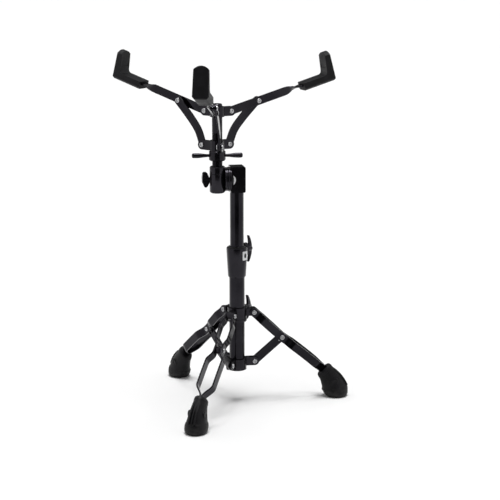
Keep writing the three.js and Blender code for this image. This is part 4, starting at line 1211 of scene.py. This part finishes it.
@dataclass(frozen=True)
class Basket:
    """The post, its nut, two hubs, and three arms with links and cradles."""

    tilter: Tilter = Tilter()
    azimuth: float = math.radians(16.6)
    post_radius: float = 9.3
    bore: float = 9.6
    nut_bottom: float = 450.0
    nut_height: float = 18.0
    nut_radius: float = 15.0
    nut_span: float = 91.0
    nut_azimuth: float = math.radians(-3)
    hub_height: float = 18.0
    hub_wall: float = 3.4
    hub_spacing: float = 60.0
    pivot: float = 26.0
    cheek: float = 2.2
    arm_mid: float = 57.1
    slope: float = math.radians(15.6)
    folded_slope: float = math.radians(80)
    strip_width: float = 15.0
    strip_thick: float = 3.0
    twist_start: float = 106.0
    twist_end: float = 141.0
    cradle_start: float = 146.0
    cradle_end: float = 210.0
    cradle_width: float = 27.5
    cradle_floor: float = 9.5
    cradle_deck: float = 4.8
    cradle_top: float = 45.0

    def place(self) -> Matrix:
        """The basket's axis, turned so that the first arm lies along X."""
        off, turn = self.tilter.offset, self.tilter.azimuth
        return Matrix.Translation((-off * math.cos(turn), -off * math.sin(turn), 0)) @ about_z(self.azimuth)

    def lower_height(self) -> float:
        """Height of the lower hub's pivots."""
        return self.nut_bottom + self.nut_height + SEAM + self.hub_height / 2

    def upper_height(self) -> float:
        """Height of the upper hub's pivots."""
        return self.lower_height() + self.hub_spacing

    def link_side(self) -> float:
        """How far each link stands to one side of its arm, to pass outside the upper hub's rivet."""
        rivet_head = 1.7
        return self.stack() + SEAM / 2 + rivet_head + SEAM + self.strip_thick / 2

    def stack(self) -> float:
        """Half a strip and one cheek beside it."""
        return self.strip_thick / 2 + SEAM + self.cheek

    def post(self) -> None:
        """The post, threaded where the nut runs."""
        bottom, top = 423.3, self.upper_height() + 14
        thread_end, pitch, depth = 500.0, 1.5, 0.55
        radius = self.post_radius
        thread = []
        for i in range(int((thread_end - 440) / pitch)):
            z = 440 + i * pitch
            thread += [(radius, z + 0.2), (radius, z + 0.55)]
            thread += [(radius - depth, z + 0.95), (radius - depth, z + 1.2)]
        ends = [(radius, thread_end + 1), (radius, top - 1.5), (radius - 1.5, top), (0, top)]
        solid = lathe([(0, bottom), (radius, bottom), *thread, *ends], sides=56)
        finish_piece(solid, "basket_post_finished", "tilter", PLATED, self.place(), ["basket_post"], edge=0)

    def nut(self) -> None:
        """The nut with its two handles."""
        bottom, top, radius = self.nut_bottom, self.nut_bottom + self.nut_height, self.nut_radius
        outside = [(radius - 2, bottom), (radius, bottom + 2), (radius, top - 2), (radius - 2, top)]
        ring = lathe([*outside, (self.bore, top), (self.bore, bottom)], ring=True)
        tip = self.nut_span / 2
        profile = [
            (0, radius - 3), (2.7, radius - 3), (2.7, radius + 1), (2.9, radius + 5), (3.4, radius + 10),
            (4.1, tip - 15), (4.4, tip - 11), (4.4, tip - 3), (4.0, tip - 1.5),
            (3.2, tip - 0.6), (1.8, tip - 0.1), (0, tip),
        ]
        handles = []
        for side in (0, math.pi):
            handle = along_x(lathe(profile, sides=40))
            handle.transform(Matrix.Translation((0, 0, (bottom + top) / 2)) @ about_z(side))
            handles.append(handle)
        body = combine(Boolean.JOIN, ring, *handles)
        turn = about_z(self.nut_azimuth - self.azimuth)
        place = self.place() @ turn
        finish_piece(body, "basket_nut_finished", "nut", CASTING, place, ["basket_nut"], edge=0.4)

    def hub(self, height: float, side: float, root: float) -> bmesh.types.BMesh:
        """A hub: a barrel on the post with three forks.

        Args:
            height: the pivots' height.
            side: how far the forks sit to one side of their arms' middle.
            root: how far from the post's axis the forks start.

        Returns:
            The solid.
        """
        half = self.hub_height / 2
        barrel = pipe(self.bore + self.hub_wall, self.bore, height - half, height + half)
        gap = self.strip_thick / 2 + SEAM
        outline = lug(root, (self.pivot, height), self.hub_height - 1)
        cheeks = [slab(outline, self.cheek, side + s * (gap + self.cheek / 2)) for s in (-1, 1)]
        web = block(
            (root, side - gap - 1, height - half + 1.5),
            (self.pivot - 8.2, side + gap + 1, height + half - 1.5),
        )
        forks = [third for part in (*cheeks, web) for third in thirds(part)]
        body = combine(Boolean.JOIN, barrel, *forks)
        return combine(Boolean.CUT, body, rod(self.bore, height - 30, height + 30))

    def hubs(self) -> None:
        """The fixed upper hub and the sliding lower one."""
        upper = self.hub(self.upper_height(), 0.0, self.bore - 1)
        finish_piece(upper, "upper_hub_finished", "tilter", CASTING, self.place(), ["upper_hub"], edge=0.5)
        lower = self.hub(self.lower_height(), self.link_side(), 0.0)
        finish_piece(lower, "lower_hub_finished", "lower_hub", CASTING, self.place(), ["lower_hub"], edge=0.5)

    def arm(self) -> bmesh.types.BMesh:
        """An arm strip along X from its pivot, turned flat before its cradle."""
        rings = []
        for s, width in strip_stations(self.strip_width / 2, self.cradle_end - 10, round_both=False):
            twist = math.pi / 2 * smooth_step(self.twist_start, self.twist_end, s)
            cos, sin = math.cos(twist), math.sin(twist)
            ring = []
            for a, b in STRIP_CORNERS:
                w, t = a * width, -b * self.strip_thick
                ring.append(Vector((s, t * cos - w * sin, w * cos + t * sin)))
            rings.append(ring)
        return sweep(rings)

    def cradle(self) -> bmesh.types.BMesh:
        """A rubber cradle: an L with an arched upright, a sunk grip face and a socket for the arm."""
        start, end, floor, deck, top = (
            self.cradle_start, self.cradle_end, self.cradle_floor, self.cradle_deck, self.cradle_top
        )
        half = self.cradle_width / 2
        side = [
            (start, -floor), (end - 4, -floor), *arc((end - 4, -floor + 4), 4, -90, 0, 6), (end, top),
            (end - 10, top), (end - 13.6, deck + 9),
            *bent((end - 13.8, deck + 7), (end - 14.6, deck), (end - 21, deck), 8), (start, deck),
        ]
        front = [
            (4 - half, -floor), (half - 4, -floor), (half, -floor + 4), (half - 1, top - 6),
            *bent((half - 1, top - 6), (half / 2, top), (0, top), 10)[1:],
            *bent((0, top), (-half / 2, top), (1 - half, top - 6), 10),
            (1 - half, top - 6), (-half, -floor + 4),
        ]
        along = slab(front, end - start + 20)
        along.transform(about_z(-math.pi / 2))
        along.transform(Matrix.Translation(((start + end) / 2, 0, 0)))
        body = combine(Boolean.OVERLAP, slab(side, self.cradle_width + 2), along)
        socket = block(
            (start - 10, -self.strip_width / 2 - SEAM, -self.strip_thick / 2 - SEAM),
            (end - 10 + SEAM, self.strip_width / 2 + SEAM, self.strip_thick / 2 + SEAM),
        )
        low, mid, high = deck + 12, top - 9, top - 5.5
        sunk = [(-9.2, low), (9.2, low), (8.8, mid), (4.5, high), (-4.5, high), (-8.8, mid)]
        grip = slab(sunk, 6.0)
        grip.transform(about_z(-math.pi / 2))
        grip.transform(Matrix.Translation((end - 15.2, 0, 0)))
        return combine(Boolean.CUT, body, socket, grip)

    def link(self, run: Point) -> bmesh.types.BMesh:
        """A bowed link strip, from the arm's middle rivet down to the lower hub.

        Args:
            run: from the lower pivot to the arm's middle rivet.

        Returns:
            The strip, with the slot at its lower end, about the lower pivot.
        """
        bend = (10.0, 25.0)
        bow = (mix(bend[0], run[0], 0.35), mix(bend[1], run[1], 0.4))
        line = Route(tuple(centripetal([run, bow, bend, (0.0, 0.0)], 20)))
        rings = []
        for s, width in strip_stations(self.strip_width / 2, line.length(), round_both=True):
            here, heading = line.at(s), line.heading(s)
            wide = Vector((-heading.y, 0, heading.x))
            centre = Vector((here.x, 0, here.y))
            across = Vector((0, -self.strip_thick, 0))
            rings.append([centre + wide * (a * width) + across * b for a, b in STRIP_CORNERS])
        slot = slab(capsule((0, 0), self.drift(run), 3.8), 12.0)
        return combine(Boolean.CUT, sweep(rings), slot)

    def drift(self, run: Point) -> Point:
        """How far the lower hub's rivet moves along the link, halfway through the fold."""
        mid = (self.arm_mid * math.cos(self.slope), self.arm_mid * math.sin(self.slope))
        folded = (self.arm_mid * math.cos(self.folded_slope), self.arm_mid * math.sin(self.folded_slope))
        length = math.hypot(*run)
        travel = folded[1] + self.hub_spacing - math.sqrt(length**2 - folded[0] ** 2)
        link_turn = math.atan2(*run) - math.asin(folded[0] / length)
        back_mid, back_run = (-mid[0], -mid[1]), (-run[0], -run[1])
        base = (0.0, -self.hub_spacing)
        return halfway_drift(back_mid, back_run, base, self.folded_slope - self.slope, link_turn, travel)

    def arms(self) -> None:
        """Three arms, a third of a turn apart."""
        mid = (self.arm_mid * math.cos(self.slope), self.arm_mid * math.sin(self.slope))
        run = (mid[0], mid[1] + self.hub_spacing)
        side, stack = self.link_side(), self.stack()
        half = (side - self.strip_thick) / 2 - SEAM
        spacer = along_y(pipe(5.5, 3.1, -half, half))
        arm, cradle, link = self.arm(), self.cradle(), self.link(run)
        for i, name in enumerate(ARM_NAMES):
            plane = self.place() @ about_z(i * THIRD_TURN)
            at = (
                plane
                @ Matrix.Translation((self.pivot, 0, self.upper_height()))
                @ Matrix.Rotation(-self.slope, 4, "Y")
            )
            low = plane @ Matrix.Translation((self.pivot, side, self.lower_height()))
            body = f"arm_{name}"
            finish_piece(arm.copy(), f"arm_{name}_finished", body, PLATED, at, [f"arm_{name}"])
            node = f"cradle_{name}"
            finish_piece(cradle.copy(), f"{node}_finished", body, RUBBER, at, [node], edge=1.0)
            node = f"link_{name}"
            finish_piece(link.copy(), f"{node}_finished", node, PLATED, low, [node])
            on_arm = at @ Matrix.Translation((self.arm_mid, side / 2, 0))
            finish_piece(spacer.copy(), f"arm_spacer_{name}", body, CASTING, on_arm, edge=0.3)
            pins = (
                ("hub_rivet", at, stack, body),
                ("arm_rivet", on_arm, (side + self.strip_thick) / 2, body),
                ("link_rivet", low, stack, "lower_hub"),
            )
            for pin, place, grip, rider in pins:
                node = f"{pin}_{name}"
                finish_piece(rivet(grip), f"{node}_finished", rider, ZINC, place, [node], edge=0)

    def build(self) -> None:
        """Makes every piece of the basket."""
        self.post()
        self.nut()
        self.hubs()
        self.arms()


def centripetal(points: Sequence[Point], steps: int) -> list[Vector]:
    """Close points on a smooth curve through a few, with even bends whatever their spacing.

    Args:
        points: the points it passes through.
        steps: how many stretches lie between two of them.

    Returns:
        The close points, in order.
    """
    given = [Vector((*p, 0)) for p in points]
    padded = [given[0] * 2 - given[1], *given, given[-1] * 2 - given[-2]]
    made = []
    for a, b, c, d in zip(padded, padded[1:], padded[2:], padded[3:]):
        before, span, after = ((q - p).length ** 0.5 for p, q in ((a, b), (b, c), (c, d)))
        leave = ((b - a) / before - (c - a) / (before + span) + (c - b) / span) * span
        arrive = ((c - b) / span - (d - b) / (span + after) + (d - c) / after) * span
        for i in range(steps):
            t = i / steps
            made.append(
                b * (2 * t**3 - 3 * t**2 + 1) + leave * (t**3 - 2 * t**2 + t)
                + c * (3 * t**2 - 2 * t**3) + arrive * (t**3 - t**2)
            )
    return [*made, given[-1]]


# ---------------------------------------------------------------- studio


@dataclass(frozen=True)
class Studio:
    """The pale floor, the soft lights, the surroundings and the camera."""

    eye: tuple[float, float, float] = (-317.1, -2382.6, 829.5)
    tilt: float = math.radians(77.24)
    pan: float = math.radians(-8.11)
    lens: float = 97.97
    shift: float = 0.0017
    floor_size: float = 40.0

    def floor(self) -> None:
        """A wide white floor."""
        shape = bmesh.new()
        bmesh.ops.create_grid(shape, x_segments=8, y_segments=8, size=self.floor_size / 2)
        floor = as_object(shape, "floor")
        material = bpy.data.materials.new("White floor")
        material.use_nodes = True
        shader = material.node_tree.nodes["Principled BSDF"]
        shader.inputs["Base Color"].default_value = (0.93, 0.93, 0.93, 1)
        shader.inputs["Roughness"].default_value = 0.6
        floor.data.materials.append(material)

    def flag(self) -> None:
        """A dark card before the stand that only reflections see, for the dark band down each tube."""
        distance, half, height = 1.2, 0.85, 1.3
        card = slab([(-half, 0.0), (half, 0.0), (half, height), (-half, height)], 0.01)
        card.transform(about_z(self.pan) @ Matrix.Translation((0, -distance, 0.001)))
        made = as_object(card, "dark card")
        material = bpy.data.materials.new("Dark card")
        material.use_nodes = True
        shader = material.node_tree.nodes["Principled BSDF"]
        shader.inputs["Base Color"].default_value = (0.01, 0.01, 0.01, 1)
        made.data.materials.append(material)
        made.visible_camera = False
        made.visible_diffuse = False
        made.visible_shadow = False

    def light(self, name: str, toward: Sequence[float], spread: float, strength: float) -> None:
        """A broad, soft light from very far away, so that the floor is evenly white.

        Args:
            name: what it is called.
            toward: the direction from the stand to the light.
            spread: how wide it looks, in degrees.
            strength: its power for each square metre.
        """
        lamp = bpy.data.lights.new(name, "SUN")
        lamp.angle = math.radians(spread)
        lamp.energy = strength
        made = bpy.data.objects.new(name, lamp)
        made.rotation_euler = (-Vector(toward)).to_track_quat("-Z", "Y").to_euler()
        bpy.context.scene.collection.objects.link(made)

    def surroundings(self) -> None:
        """White walls at the sides and above, darker in front, so that round parts show their form."""
        world = bpy.data.worlds.new("Studio")
        bpy.context.scene.world = world
        world.use_nodes = True
        tree = world.node_tree
        where = tree.nodes.new("ShaderNodeTexCoord")
        split = tree.nodes.new("ShaderNodeSeparateXYZ")
        tree.links.new(where.outputs["Generated"], split.inputs["Vector"])
        side = sums_in(tree, "ABSOLUTE", split.outputs["X"], 0.0)
        walls = ramp_in(tree, side, 0.25, 0.6, 0.05, 1.0)
        above = ramp_in(tree, split.outputs["Z"], 0.3, 0.9, 0.0, 0.9)
        ray = tree.nodes.new("ShaderNodeLightPath")
        dimming = sums_in(tree, "MULTIPLY", ray.outputs["Is Diffuse Ray"], -0.62)
        share = sums_in(tree, "ADD", dimming, 1.0)
        glow = sums_in(tree, "MULTIPLY", sums_in(tree, "MAXIMUM", walls, above), share)
        strength = sums_in(tree, "MAXIMUM", glow, ray.outputs["Is Camera Ray"])
        tree.links.new(strength, tree.nodes["Background"].inputs["Strength"])
        tree.nodes["Background"].inputs["Color"].default_value = (1, 1, 1, 1)

    def camera(self) -> None:
        """The camera at the chosen viewing angle."""
        data = bpy.data.cameras.new("camera")
        data.lens = self.lens
        data.sensor_width = 36
        data.shift_x = self.shift
        data.clip_end = 100
        made = bpy.data.objects.new("camera", data)
        made.location = COLUMN @ Vector(self.eye)
        made.rotation_euler = (self.tilt, 0, self.pan)
        bpy.context.scene.collection.objects.link(made)
        bpy.context.scene.camera = made

    def build(self) -> None:
        """Sets the whole studio up."""
        bpy.context.scene.view_settings.view_transform = "Standard"
        self.camera()
        self.floor()
        self.surroundings()
        self.flag()
        self.light("key light", (0.03, -0.02, 1.0), 26.0, 2.5)
        self.light("fill light", (-0.5, 0.4, 1.0), 80.0, 0.2)


def main() -> None:
    """Builds the studio and every sub-assembly in order."""
    logging.basicConfig(level=logging.INFO, format="%(message)s")
    for assembly in (Studio(), Column(), Tripod(), Tilter(), Basket()):
        LOG.info("building %s", type(assembly).__name__)
        assembly.build()


if __name__ == "__main__":
    main()
